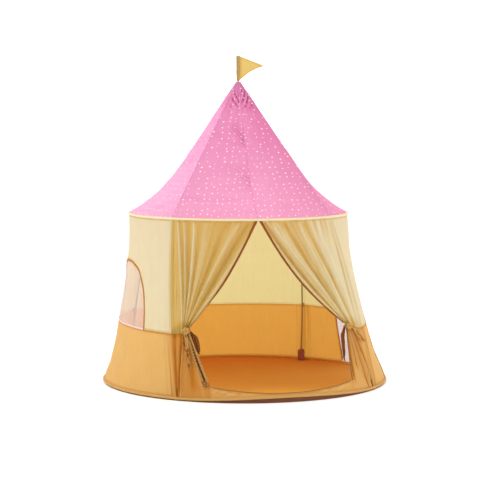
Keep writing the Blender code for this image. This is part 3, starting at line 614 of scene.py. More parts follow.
def wall_piece(name, middle, spot, columns, rows, sink=slack, depth=wall_depth, cut_radius=wall_cut_radius,
               slip=0.0):
    """Wall cloth round a middle angle. spot(across, up) gives an angle from the middle, and a height."""
    def flat(across, up):
        offset, height = spot(across, up)
        return radians(offset) * cut_radius, height

    def point(across, up):
        offset, height = spot(across, up)
        return wall_point(middle + offset, height, sink(middle + offset, height))

    def hollow(across, up):
        offset, height = spot(across, up)
        return depth(middle + offset, height)
    return cut_cloth(name, columns, rows, flat, point, hollow if depth else None, slip=slip)


yellow_cotton = cotton("yellow_cotton", yellow_colour, yellow_deep, yellow_through, wall_glow)
orange_cotton = cotton("orange_cotton", orange_colour, orange_deep, orange_through, wall_glow)
wall_top = eaves_height - tuck
windows = {"left": window_left_degrees, "back": 0, "right": window_right_degrees}
for side, middle in (("left", -pole_pitch), ("back", 2 * pole_pitch), ("right", pole_pitch)):
    window = windows[side]

    def high_spot(across, up):
        offset, low = panel_column(across, window)
        return offset, between(low, wall_top, up)

    high = wall_piece(f"{side}_wall_yellow", middle, high_spot, 180, 84, slip=middle * 0.013)
    dress(high, yellow_cotton, [f"wall_{side}_upper"])
    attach(high, "tent")
    declare(high)
    # The tall window parts the right wall's lower cloth in two
    low_columns = {"": lambda across: (2 * across - 1) * half_pitch}
    if side == "right":
        low_columns = {"_front": lambda across: -between(window, half_pitch, across),
                       "_back": lambda across: between(window, half_pitch, across)}
    for ending, column in low_columns.items():
        def low_spot(across, up):
            offset = column(across)
            return offset, between(wall_foot(middle + offset), seam_height, up)

        low = wall_piece(f"{side}_wall_orange{ending}", middle, low_spot, 50 if side == "right" else 160, 48,
                         slip=middle * 0.013)
        dress(low, orange_cotton, [f"wall_{side}_lower{ending}"])
        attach(low, "tent")
        declare(low)

# Windows
# Fine pale-pink polyester netting in two arched openings. A folded orange tape, turned over the raw edges of
# wall and net and stitched through, binds the arch, and a narrow pale hem closes the left window's foot.
net_colour = "#CCB3AA"
tape_colour = "#C4843A"
tape_deep = "#8E501A"
window_binding_width = 0.009
# Length of tape over an arch, and the height that a tall window's tape starts at
arch_length = 0.86
tall_binding_foot = 0.02
net_pitch = 0.0024
net_hem_height = 0.007


def netting(name, colour):
    """Warp-knitted netting: soft pink threads 0.3 mm thick with holes of 1.2 mm, drawn 1.6 times as wide."""
    made, tree, output = new_material(name)
    cut = add_node(tree, "UVMap", {}, uv_map="cut")["UV"]
    pitch = add_node(tree, "Mapping", {"Vector": cut, "Scale": (1 / net_pitch, 1 / net_pitch, 1),
                                       "Rotation": (0, 0, radians(45))})[0]
    parts = add_node(tree, "SeparateXYZ", {0: pitch})
    holes = []
    for part in (parts[0], parts[1]):
        swing = add_node(tree, "Math", {0: part, 1: 0.5}, operation="PINGPONG")[0]
        holes.append(add_node(tree, "Math", {0: swing, 1: 0.13}, operation="GREATER_THAN")[0])
    open_share = add_node(tree, "Math", {0: holes[0], 1: holes[1]}, operation="MULTIPLY")[0]
    solid = add_node(tree, "MapRange", {"Value": open_share, "To Min": 0.78, "To Max": 0.46})[0]
    surface = add_node(tree, "BsdfPrincipled", {
        "Base Color": linear(colour), "Roughness": 0.7, "Sheen Weight": 0.2, "Alpha": solid})[0]
    tree.links.new(surface, output.inputs["Surface"])
    return made


def binding_ribbon(name, middle, half_degrees, foot):
    """A tape along the arch, and down both sides to a foot height where the window is tall."""
    side_length = seam_height - foot
    total = arch_length + 2 * side_length

    def point(across, up):
        grow = window_binding_width * (up - 0.5)
        travel = total * across
        if travel < side_length:
            offset, height = half_degrees + degrees_across(grow, base_radius), foot + travel
        elif travel > side_length + arch_length:
            offset, height = -half_degrees - degrees_across(grow, base_radius), foot + total - travel
        else:
            offset, height = arch(half_degrees, pi * (travel - side_length) / arch_length, grow)
        crown = 0.0006 + 0.0034 * (1 - (grow / (window_binding_width / 2)) ** 2)
        wave = 0.0005 * noise_at(travel * 60, grow * 90, middle)
        return wall_point(middle + offset, height, slack(middle + offset, height) - crown - wave)
    return cut_cloth(name, 240, 8, strip(total, window_binding_width, 0.5), point)


pale_net = netting("pale_netting", net_colour)
window_tape = cotton("orange_twill_tape", tape_colour, tape_deep, "#F0A850", 0.12, crinkle=0.0006,
                     stitch="#8A4E18")
for side, middle in (("left", -pole_pitch), ("right", pole_pitch)):
    window = windows[side]

    def net_spot(across, up):
        offset, top = arch(window, pi * (1 - across))
        return offset, between(seam_height if side == "left" else wall_foot(middle + offset), top, up)

    net = wall_piece(f"{side}_window_net", middle, net_spot, 96, 60,
                     lambda angle, height: slack(angle, height) + 0.0003, depth=None)
    tape = binding_ribbon(f"{side}_window_tape", middle, window,
                          seam_height if side == "left" else tall_binding_foot)
    dress(net, pale_net, [f"window_mesh_{side}"])
    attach(net, "tent")
    dress(tape, window_tape, [f"window_binding_{side}"])
    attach(tape, "tent")
    declare(net)


def net_hem_point(across, up):
    angle = (window_left_degrees - 0.5) * (2 * across - 1) - pole_pitch
    height = seam_height - 0.0015 + net_hem_height * up
    return wall_point(angle, height, slack(angle, height) - 0.0009)


pale_hem = cotton("pale_net_hem", "#F2D9DC", "#E3BFC6", "#FFE0E6", 0.3, crinkle=0.0005, stitch="#D9A8B4")
net_hem = cut_cloth("left_window_hem", 90, 4, strip(
    radians(2 * (window_left_degrees - 0.5)) * wall_cut_radius, net_hem_height), net_hem_point)
dress(net_hem, pale_hem, [])
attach(net_hem, "tent")

# Eaves piping
# The upper hoop in a tube of pale yellow tape. The roof, the walls and the curtains are all sewn into it.
eaves_tape_colour = "#FBF0CC"
eaves_tape_deep = "#E4CE90"
pale_tape = cotton("pale_yellow_tape", eaves_tape_colour, eaves_tape_deep, "#FFE89A", 0.25, crinkle=0.0005)
eaves_tape = wrapped_tape("eaves_tape", eaves_radius, lambda angle: eaves_height)
dress(eaves_tape, pale_tape, ["eaves_piping"])
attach(eaves_tape, "tent")

# Roof
# Eight gores of pink cotton with small white dots, sewn to each other up the ridges and up the middle of each
# face, and gathered under the crown. Each face hangs hollow between two ridges.
apex_height = 1.267
crown_radius = 0.011
roof_hollow_share = 0.74
roof_hollow_power = 4.6
roof_low = eaves_height + tuck
pink_colour = "#ECABD2"
pink_deep = "#D26EA0"
pink_through = "#F7A6D6"
smallest_dot = 0.0015
largest_dot = 0.0029
dot_spacing = 0.0265


def dot_print(tree, cut):
    """White pigment dots of 3 to 6 mm, about 26 mm apart in a loose order, as one factor."""
    seeds = add_node(tree, "TexVoronoi", {"Vector": cut, "Scale": 1 / dot_spacing, "Randomness": 0.58},
                     voronoi_dimensions="2D")
    chance = add_node(tree, "SeparateColor", {0: seeds["Color"]})[0]
    radius = add_node(tree, "MapRange", {
        "Value": chance, "To Min": smallest_dot / dot_spacing, "To Max": largest_dot / dot_spacing})[0]
    return add_node(tree, "Math", {0: seeds["Distance"], 1: radius}, operation="LESS_THAN")[0]


def roof_radius(angle, height):
    """Face of the roof: straight ridges over the poles, with the cloth hollow between them."""
    share = (height - roof_low) / (apex_height - roof_low)
    ridge = between(eaves_radius, crown_radius, share)
    middle_share = between(roof_hollow_share, 1, max(1 - share, 0) ** roof_hollow_power)
    return ridge * between(middle_share, 1, corner_share(angle) ** 2)


def roof_drag(angle, height):
    """Drag lines that climb away from the door's seam at a slant in two clusters, and cross the left face."""
    signed = from_door(angle)
    along = radians(signed) * roof_radius(angle, height)
    lines = 0
    if -22 < signed < 0:
        for middle, tall, share, lean in ((1.02, 0.034, 1.0, 1.2), (0.858, 0.042, 0.9, 0.65)):
            level = height + lean * along
            wander = 1.2 * noise_at(along * 14, height * 20, 0)
            cluster = share * bell(level - middle, tall) * exp(along / 0.05)
            lines += sin(level * tau / 0.018 + wander) * cluster
    far_left = smooth((signed + 84) / 8) * smooth((-52 - signed) / 8) * smooth((height - 0.9) / 0.04)
    lines += 0.5 * far_left * smooth((0.99 - height) / 0.04) * sin((height + 1.2 * along) * 300)
    return lines * smooth(-along / 0.004)


def roof_slack(angle, height):
    """Depth of the roof's creases: gathers under the crown, drag lines, and soft waves."""
    drop = apex_height - height
    radius = roof_radius(angle, height)
    along = radians(angle) * radius
    beside_seam = radians(abs((angle + half_pitch / 2) % half_pitch - half_pitch / 2)) * radius
    seam_keep = smooth(beside_seam / 0.01)
    # Pleats slant towards the middle seam of each face, from both sides
    off_middle = abs((angle + half_pitch) % pole_pitch - half_pitch)
    slant = sin(radians(off_middle) * 20 + drop * 210 + 1.5 * noise_at(angle * 0.1, 0, 3))
    pleats = slant * smooth((drop - 0.022) / 0.03) * smooth((0.13 - drop) / 0.05) * smooth(
        (42 - off_middle) / 12)
    gathers = noise_at(angle * 0.25, drop * 5, 1.7) * smooth(drop / 0.05) * smooth((0.24 - drop) / 0.12)
    soft = noise_at(along * 7, height * 3.4, 4.2) * smooth(drop / 0.25)
    eaves = noise_at(along * 45, height * 5, 2.9) * exp(-(height - eaves_height) / 0.03)
    return (0.0034 * pleats * seam_keep + 0.003 * gathers * seam_keep + 0.004 * soft * seam_keep
            + 0.0036 * roof_drag(angle, height)
            + 0.0014 * eaves * smooth((height - eaves_height) / 0.01) - 0.0005 * bell(beside_seam, 0.003))


def roof_depth(angle, height):
    """Painted shade: deeper colour in the creases and drag lines, under the crown, towards the top, and in the
    gores on the door's side and to its right, where the photograph's light shows them deeper."""
    gathered = smooth((0.14 - (apex_height - height)) / 0.05)
    crease = roof_slack(angle, height) * between(60, 230, gathered) + 0.25 * gathered
    signed = from_door(angle)
    front = smooth((signed + 47) / 4) * (0.2 + 0.28 * smooth((signed - 8) / 40)) * smooth((150 - signed) / 60)
    return (max(crease, 0) + 0.8 * max(roof_drag(angle, height), 0) + front
            + 0.2 * smooth((height - 0.78) / 0.3))


pink_cotton = cotton("pink_dotted_cotton", pink_colour, pink_deep, pink_through, 0.34, stitch=None, dots=True,
                     hem_width=0.0016, hem_depth=0.7)
ridge_length = hypot(apex_height - roof_low, eaves_radius)
for number in range(1, 9):
    first = (number - 1) * half_pitch

    def gore_spot(across, up):
        return first + half_pitch * across, between(roof_low, apex_height, up)

    def gore_flat(across, up):
        width = radians(half_pitch) * roof_radius(*gore_spot(0.5, up))
        return width * (across - 0.5), ridge_length * up

    def gore_point(across, up):
        angle, height = gore_spot(across, up)
        return place(angle, height, roof_radius(angle, height) - roof_slack(angle, height))

    gore = cut_cloth(f"roof_cloth_{number}", 56, 130, gore_flat, gore_point,
                     lambda across, up: roof_depth(*gore_spot(across, up)), slip=number * 1.37)
    dress(gore, pink_cotton, [f"roof_gore_{number}"])
    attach(gore, "tent")
    declare(gore)

# Flag
# A pennant of deeper yellow cotton, sewn into a ribbon sleeve that slips over the mast. The sleeve is pinched
# flat at its top, turned and narrowed at its foot, and stitched down its far side.
sleeve_width = 0.0165
sleeve_depth = 0.0105
sleeve_round = 0.046
sleeve_bottom = apex_height + 0.003
sleeve_top = sleeve_bottom + 0.106
pennant_hoist = 0.102
pennant_fly = 0.107
pennant_tip_drop = 0.04
pennant_belly = 0.01
flag_colour = "#BAA66C"
flag_deep = "#A88440"
flag_axis = place(0, apex_height, 0)


def sleeve_point(across, up):
    """Round the sleeve with across, starting at the pennant. It pinches flat over its last centimetre."""
    turn = tau * across
    pinch = smooth((1 - up) / 0.1)
    twist = radians(-20) * smooth(1 - up * 1.6)
    crumple = 1 + 0.1 * noise_at(cos(turn) * 2, sin(turn) * 2, up * 7)
    wide = sleeve_width / 2 * cos(turn) * between(1, 0.8, smooth(1 - up * 2.2)) * crumple
    deep = sleeve_depth / 2 * sin(turn) * between(0.14, 1, pinch) * crumple
    turned = Matrix.Rotation(twist, 3, "Z") @ Vector((wide, deep, 0))
    return Vector((flag_axis.x, flag_axis.y, between(sleeve_bottom, sleeve_top, up))) + turned


def pennant_flat(across, up):
    top = sleeve_top - 0.001 - pennant_tip_drop * across
    low = between(sleeve_top - 0.001 - pennant_hoist, sleeve_top - 0.043, across)
    return pennant_fly * (across - 0.5), between(low + pennant_belly * sin(pi * across), top, up)


def pennant_point(across, up):
    wide, height = pennant_flat(across, up)
    ripple = 0.004 * sin(tau * across) * across
    crease = 0.0012 * noise_at(across * 5, height * 40, 0.5) * smooth(across / 0.1)
    return Vector((flag_axis.x + sleeve_width / 2 - 0.001 + (pennant_fly + 0.001) * across,
                   flag_axis.y + ripple + crease, height))


flag_cotton = cotton("flag_cotton", flag_colour, flag_deep, "#F2C864", 0.32, crinkle=0.0012, stitch="#B8741E")
sleeve = cut_cloth("flag_ribbon_sleeve", 40, 48, strip(sleeve_round, sleeve_top - sleeve_bottom),
                   sleeve_point, tube=True)
dress(sleeve, flag_cotton, ["flag_sleeve"])
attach(sleeve, "flag")
pennant = cut_cloth("flag_cloth", 60, 44, pennant_flat, pennant_point)
dress(pennant, flag_cotton, ["flag_pennant"])
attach(pennant, "flag")
declare(pennant)

# Door sill
# A low strip of the orange cotton across the foot of the door, rising to a corner beside each curtain, with a
# narrow binding stitched in brown over its upper edge. Drag lines run from its corners.
sill_middle_height = 0.038
sill_corner_height = 0.061
sill_corner_degrees = 30.5
sill_binding_width = 0.005
brown_colour = "#9A5622"
brown_deep = "#4E2408"


def sill_height(angle):
    return between(sill_middle_height, sill_corner_height, (angle / sill_corner_degrees) ** 2)


def sill_slack(angle, height):
    """Soft drag, and one sharp crease that falls from each corner to the hoop."""
    along = radians(angle) * base_radius
    drag = noise_at(along * 16, (height * 1.4 - along * 0.7) * 46, 6.1)
    beside_corner = radians(sill_corner_degrees) * base_radius - abs(along)
    from_crease = height - sill_corner_height + 0.004 + beside_corner * 0.3
    crease = bell(from_crease, 0.0035) * smooth((abs(angle) - 17) / 6)
    off_hoop = smooth((height - hoop_height(angle)) / 0.02)
    return (0.0034 * drag * smooth(abs(angle) / 12) - 0.003 * crease) * off_hoop


def sill_spot(across, up):
    angle = (2 * across - 1) * sill_corner_degrees
    return angle, between(wall_foot(angle), sill_height(angle), up)


def sill_tape_point(across, up):
    """The tape wraps the edge: up runs from its outer hem over the top to its inner hem."""
    angle = (2 * across - 1) * sill_corner_degrees
    top = sill_height(angle)
    turn = pi * up
    height = top - sill_binding_width * (1 - sin(turn))
    wave = 0.0007 * noise_at(angle * 1.9, 0, 2.2)
    return wall_point(angle, height + wave, sill_slack(angle, top) - 0.0012 * cos(turn))


brown_tape = cotton("brown_twill_binding", brown_colour, brown_deep, "#9A5A20", 0.04, crinkle=0.0006,
                    stitch="#C08A4A")
# Painted shade: the sill is painted a little deeper as a whole, deeper where its drag sinks in, and paler on
# its creases
sill = wall_piece("sill_cloth", 0, sill_spot, 150, 12, sill_slack,
                  lambda angle, height: 0.22 + 110 * sill_slack(angle, height), base_radius)
dress(sill, orange_cotton, ["door_sill"])
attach(sill, "tent")
declare(sill)
sill_cotton = cotton("bound_sill_edge", "#D2A25C", "#94601E", "#E0A84C", 0.12, crinkle=0.0006,
                     stitch="#5A2E10", hem_width=0.0022)
sill_tape = cut_cloth("sill_tape", 200, 8, strip(
    radians(2 * sill_corner_degrees) * base_radius, sill_binding_width, 0.5), sill_tape_point)
dress(sill_tape, sill_cotton, ["sill_binding"])
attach(sill_tape, "tent")

# Curtains
# Two door curtains, yellow above the tie and orange below it, with a brown binding down their front edges.
# Each is gathered to 3 cm at its tie: its folds fan out up to the eaves and down to the base hoop.
slit_half_width = 0.0015
edge_width = 0.008
waist_width = {"left": 0.028, "right": 0.032}
waist_length = 0.022
# Width and height of the flat cuts, and how far down the yellow cloth reaches the waist
upper_cut = (0.46, 0.455)
lower_cut = (0.3, 0.26)
waist_reached = 0.94
flat_share = 0.26
curtain_rise = 0.015
curtain_degrees = {"left": 38.6, "right": 36.7}
curtain_sag = {"left": 0.09, "right": 0.3}
# How deep the yellow and the orange cloth look as a whole, and where across the yellow cloth that starts. It
# is shade that the photograph shows, put in the colour
curtain_tone = {"left": (0.84, 0.64), "right": (0.46, 0.14)}
curtain_tone_start = {"left": -0.15, "right": 0.34}
# A fold runs straight from one place across the curtain at its top to another at its foot. Its half width is
# in the same share, its height is in metres, with a valley below 0, then comes its painted shade, how much
# deeper its colour is painted, or paler below 0 as a painted highlight, and how far down it runs
upper_folds = {
    "left": [(0.03, 0.06, 0.016, -0.004, 0.7, 1), (0.08, 0.24, 0.013, 0.0055, -0.9, 1),
             (0.12, 0.26, 0.026, -0.008, 0.3, 1), (0.16, 0.3, 0.014, 0.009, -0.9, 1),
             (0.215, 0.325, 0.026, -0.009, 0.3, 1), (0.29, 0.38, 0.018, 0.013, -1.0, 1),
             (0.36, 0.41, 0.02, -0.005, 0.5, 1), (0.45, 0.46, 0.06, 0.006, -0.3, 1),
             (0.55, 0.5, 0.016, -0.003, 0.4, 0.6), (0.68, 0.54, 0.045, -0.012, 0.7, 1),
             (0.81, 0.59, 0.034, 0.011, -0.5, 1), (0.94, 0.72, 0.05, -0.015, 1.7, 1),
             (1.05, 0.86, 0.05, 0.012, -0.5, 1)],
    "right": [(0.05, 0.1, 0.02, -0.0035, 0.5, 1), (0.2, 0.11, 0.03, 0.003, 0.0, 1),
              (0.32, 0.13, 0.034, 0.008, -0.6, 1), (0.48, 0.17, 0.04, -0.011, 0.9, 1),
              (0.57, 0.45, 0.022, 0.012, -0.9, 1), (0.66, 0.48, 0.02, -0.006, 0.5, 1),
              (0.74, 0.54, 0.038, -0.014, 1.0, 1), (0.85, 0.58, 0.026, 0.008, -0.6, 1),
              (0.91, 0.64, 0.03, 0.012, -0.6, 1), (0.98, 0.8, 0.03, -0.015, 1.15, 1),
              (1.02, 0.93, 0.03, 0.008, -0.5, 1)],
}
lower_folds = {
    "left": [(0.07, 0.036, 0.03, -0.005, 1.5, 1), (0.235, 0.095, 0.026, -0.009, 1.3, 1),
             (0.3, 0.13, 0.018, 0.008, -0.9, 1), (0.62, 0.54, 0.11, -0.007, 1.0, 0.75),
             (0.8, 0.8, 0.04, 0.005, -0.3, 1)],
    "right": [(0.27, 0.04, 0.042, -0.012, 2.1, 1), (0.35, 0.13, 0.034, 0.009, -1.0, 1),
              (0.45, 0.27, 0.046, -0.008, 1.2, 0.9), (0.56, 0.39, 0.04, 0.006, -0.8, 0.7),
              (0.68, 0.58, 0.046, -0.007, 1.6, 0.5), (0.78, 0.71, 0.034, 0.006, -0.8, 0.5),
              (0.88, 0.86, 0.046, -0.006, 1.7, 0.7), (0.97, 0.96, 0.025, 0.004, -0.5, 1)],
}


class Curtain:
    """Where one curtain's cloth runs, from the eaves to its tie and from the tie to the base hoop."""

    def __init__(self, side):
        self.side = side
        self.sign = -1 if side == "left" else 1
        self.tie_height = seam_height + curtain_rise
        self.tie_degrees = curtain_degrees[side]
        self.slit = degrees_across(slit_half_width + edge_width, eaves_radius)
        tie_radius = wall_radius(self.tie_degrees, self.tie_height)
        self.half_waist = degrees_across(waist_width[side] / 2, tie_radius)
        self.inner_degrees = self.tie_degrees - self.half_waist
        self.waist_bottom = self.tie_height - waist_length / 2
        self.waist_top = self.waist_bottom + waist_length
        self.corner_down = (self.waist_bottom - sill_corner_height) / (
            self.waist_bottom - wall_foot(sill_corner_degrees))

    def at(self, angle, height, depth=0.0):
        return wall_point(self.sign * angle, height, depth)

    def sagged(self, share):
        return between(share, share ** 3, curtain_sag[self.side])

    def waist_angle(self, across):
        outer = self.tie_degrees + self.half_waist
        if across < flat_share:
            return between(half_pitch, outer, across / flat_share)
        return between(outer, self.inner_degrees, (across - flat_share) / (1 - flat_share))

    def wave(self, folds, across, down, drift, fine_share):
        """Height of the folds at a place, with the small creases between them, and their painted shade: how
        much deeper or paler its colour is painted. The cloth is level at both its edges."""
        fine = noise_at(across * 30, down * 2.4, self.sign * 9.0)
        finer = noise_at(across * 70, down * 3.5, self.sign * 13.0)
        edge = smooth(across / 0.03) * smooth((1 - across) / 0.02)
        across += drift * noise_at(across * 3, down * 2.2, self.sign * 4.0)
        height = 0
        depth = 0
        for top, low, half, rise, shade, reach in folds:
            near = bell(across - between(top, low, down), half) * smooth((reach + 0.25 - down) / 0.25)
            height += rise * near
            depth += shade * near
        return (height + (0.002 * fine + 0.001 * finer) * fine_share) * edge, depth

    def toned(self, tone, depth):
        """Depth of painted shade in a cloth of this tone: a valley is painted deeper, and a ridge paler, as a
        painted highlight.
        """
        return tone + (1 - tone) * max(depth, 0) + tone * max(min(depth, 0), -1)

    def upper_wave(self, across, sweep):
        """Out from the wall, and the depth of painted shade: darker in the gathers just under the eaves and
        near the tie, and deeper or paler with the folds.
        """
        height, depth = self.wave(upper_folds[self.side], across, sweep, 0.006, 1.0)
        size = between(0.55, 1.0, smooth(sweep / 0.35)) * between(1, 0.35, smooth((sweep - 0.6) / 0.35))
        near_top = 0.0026 * noise_at(across * 42, sweep * 3, 1.0) * smooth((0.25 - sweep) / 0.25)
        out = (height * size + near_top * smooth(across / 0.05)) * smooth(sweep / 0.03)
        streak = smooth(0.5 + noise_at(across * 26, sweep * 3, self.sign * 2.0))
        tone = curtain_tone[self.side][0] * smooth((across - curtain_tone_start[self.side]) / 0.15)
        under_eaves = 0.95 * exp(-sweep / 0.15) * streak * smooth(across / 0.2)
        near_tie = 0.5 * smooth((sweep - 0.9) / 0.1)
        pale = (1 - self.toned(tone, depth * smooth(sweep / 0.05))) * (1 - under_eaves)
        return out, 1 - pale + near_tie

    def upper(self, across, down):
        """Angle, height, way out from the wall and depth of painted shade of a place in the yellow cloth."""
        sweep = min(down / waist_reached, 1)
        top_angle = between(half_pitch, self.slit, across)
        angle = between(top_angle, self.waist_angle(across), between(sweep, self.sagged(sweep), across))
        gathered = smooth(across / flat_share)
        low = between(seam_height, self.waist_bottom, gathered)
        neck = between(low, self.waist_top, gathered)
        height = between(wall_top, neck, sweep)
        if down > waist_reached:
            height = between(neck, low, (down - waist_reached) / (1 - waist_reached))
        return angle, height, *self.upper_wave(across, sweep)

    def lower(self, across, down):
        """The same of a place in the orange cloth."""
        high = between(seam_height, self.waist_bottom, smooth(across / flat_share))
        foot_angle = between(half_pitch, sill_corner_degrees, across)
        low = wall_foot(foot_angle)
        rest = max((sill_corner_height - low) / (high - low), 0)
        sweep = min(down / (1 - rest * across), 1)
        angle = between(self.waist_angle(across), foot_angle, sweep)
        out, depth = self.wave(lower_folds[self.side], across, down, 0.004, 0.45)
        size = between(0.45, 1.0, smooth(down / 0.3)) * smooth((1 - down) / 0.22)
        # Painted shade near the tie, and a painted shadow in the pleat beside the pole's foot
        near_tie = 0.5 * smooth((0.1 - down) / 0.1)
        pole_foot_shadow = 0.8 * bell(across - 0.04, 0.025) * smooth((down - 0.8) / 0.12)
        depth = self.toned(curtain_tone[self.side][1], depth) + near_tie + pole_foot_shadow
        return angle, between(high, low, down), out * size, depth

    def cloth(self, name, columns, rows, flat, spot):
        """One of its two cloths, whose places come from upper or from lower."""
        def point(across, up):
            angle, height, out, depth = spot(across, 1 - up)
            return self.at(angle, height, -out)
        return cut_cloth(name, columns, rows, flat, point, lambda across, up: spot(across, 1 - up)[3])

    def front_edge(self, share, inward, depth):
        """A point on the front edge: share runs down it, inward across it towards the door's middle."""
        height = between(wall_top, self.waist_top, share)
        angle = between(self.slit, self.inner_degrees, self.sagged(share))
        return self.at(angle - degrees_across(inward, wall_radius(angle, height)), height, depth)

    def blend_upper(self, piece):
        """Works out how far the front edge reaches from the curtain's hinge, and bakes the piece's place into
        its mesh.
        """
        start = self.front_edge(0, edge_width, 0)
        end = self.front_edge(1, 0, 0)
        joint = next(joint for joint in frame["joints"] if joint["name"] == f"curtain_{self.side}_swing")
        axis = Vector(joint["axis"]).normalized()
        down = (end - start).normalized()
        beside = axis.cross(down).normalized()
        if beside.dot(self.at(half_pitch, between(wall_top, seam_height, 0.5)) - start) < 0:
            beside = -beside
        reach = max(beside.dot(self.front_edge(step / 20, 0, 0) - start) for step in range(21))
        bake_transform(piece)

    def blend_lower(self, piece):
        """Works out the line from the seam on the pole to the corner of the sill, and how far the waist lies
        from it, and bakes the piece's place into its mesh."""
        fixed_top = self.at(half_pitch, seam_height)
        line = (self.at(sill_corner_degrees, sill_corner_height) - fixed_top).normalized()
        waist = self.at(self.inner_degrees, self.waist_bottom)
        apart = waist - fixed_top
        apart -= line * apart.dot(line)
        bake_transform(piece)


hem_width = {"left": 0.029, "right": 0.008}
rolled_hem = cotton("rolled_brown_hem", "#C69A58", "#84501E", "#D8A04C", 0.1, crinkle=0.001, stitch=None)
for side in ("left", "right"):
    curtain = Curtain(side)
    high = curtain.cloth(f"{side}_curtain_yellow", 260, 150, strip(*upper_cut), curtain.upper)
    dress(high, yellow_cotton, [f"curtain_{side}_upper"])
    curtain.blend_upper(high)
    declare(high)
    low = curtain.cloth(f"{side}_curtain_orange", 200, 90, strip(*lower_cut), curtain.lower)
    dress(low, orange_cotton, [f"curtain_{side}_lower"])
    curtain.blend_lower(low)
    declare(low)

    # The bound front edge rolls under above the left tie, and waves beside the right one
    def edge_point(across, up):
        share = 1 - up
        inward = between(-0.004, edge_width, across)
        if side == "left":
            roll = radians(100) * smooth((share - 0.45) / 0.4)
        else:
            roll = 0.5 * noise_at(share * 14, 0, 3.0) * smooth((share - 0.4) / 0.5)
        bulge = 0.0012 + 0.0016 * sin(pi * across)
        return curtain.front_edge(share, inward * cos(roll), inward * sin(roll) - bulge)

    edge = cut_cloth(f"{side}_curtain_binding", 8, 140, strip(edge_width, 0.5), edge_point)
    dress(edge, brown_tape, [f"curtain_{side}_edge"])
    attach(edge, f"curtain_{side}")

    # The lower cloth's inner edge has a brown binding down to the sill. The left one has rolled over into a
    # gutter between two gathered rims, and the right one hangs as a thin ruffled line
    def hem_rim(across):
        """1 on each rim and 0 at the bottom of the gutter."""
        return (cos(tau * (across - 0.17) / 0.66) + 1) / 2 if side == "left" else 0.5

    def hem_bunch(up):
        """1 where the cloth bunches up at the sill's corner."""
        return smooth((0.14 - up) / 0.06) if side == "left" else 0

    def hem_point(across, up):
        down = (1 - up) * curtain.corner_down
        angle, height, out, depth = curtain.lower(1, down)
        ruffle = sin(down * 150 + across * 3) * 0.001 + 0.0012 * noise_at(down * 40, across * 2, 8.0)
        bunch = hem_bunch(up) * (0.003 + 0.006 * noise_at(down * 60, across * 4, 2.0))
        stretch = between(0.72, 1, smooth(down / 0.5))
        slide = degrees_across(hem_width[side] * stretch * (across - 0.9), wall_radius(angle, height))
        return curtain.at(angle - slide, height, -(0.001 + 0.0042 * hem_rim(across) + ruffle + bunch))

    # Painted shade: near dark in the bottom of the gutter and where the cloth bunches at the sill's corner,
    # with a mottle
    def hem_hollow(across, up):
        mottle = noise_at(up * 60, across * 5, 3.0)
        gutter = 2.0 * smooth(1.3 - hem_rim(across) * 2.0) * (1 - hem_bunch(up))
        return max(gutter + 0.5 * mottle, 0.25 + 0.6 * mottle) + hem_bunch(up) * (0.4 + 1.2 * mottle)

    hem = cut_cloth(f"{side}_curtain_foot_binding", 24, 220, strip(hem_width[side], 0.24), hem_point,
                    hem_hollow)
    dress(hem, rolled_hem if side == "left" else brown_tape, [])
    curtain.blend_lower(hem)

# Ties and loose corners
# A soft ribbon of the tape's cloth holds each waist: it goes round once, is knotted in front, and one end
# hangs down. The bound lower corner of the curtain's front edge hangs behind it, crumpled.
tie_colour = "#D4A65A"
tie_deep = "#8E5818"
band_height = 0.012
band_room = 0.0012
waist_fold = 0.0026
knot_wide = {"left": 0.0115, "right": 0.015}
knot_tall = 0.014
knot_depth = 0.0055
tail_width = {"left": 0.02, "right": 0.03}
tail_crumple = {"left": 0.0034, "right": 0.0008}
tail_start = {"left": -0.007, "right": -0.014}
tail_length = {"left": 0.152, "right": 0.072}
tail_sway = {"left": -0.015, "right": 0.05}
corner_width = 0.02
corner_length = {"left": 0.092, "right": 0.14}
corner_start = {"left": 0.008, "right": 0.01}
corner_drift = {"left": 0.019, "right": 0.034}
tie_ribbon = cotton("crumpled_tie_ribbon", tie_colour, tie_deep, "#E8B868", 0.12, crinkle=0.0016,
                    stitch="#8A5A24")
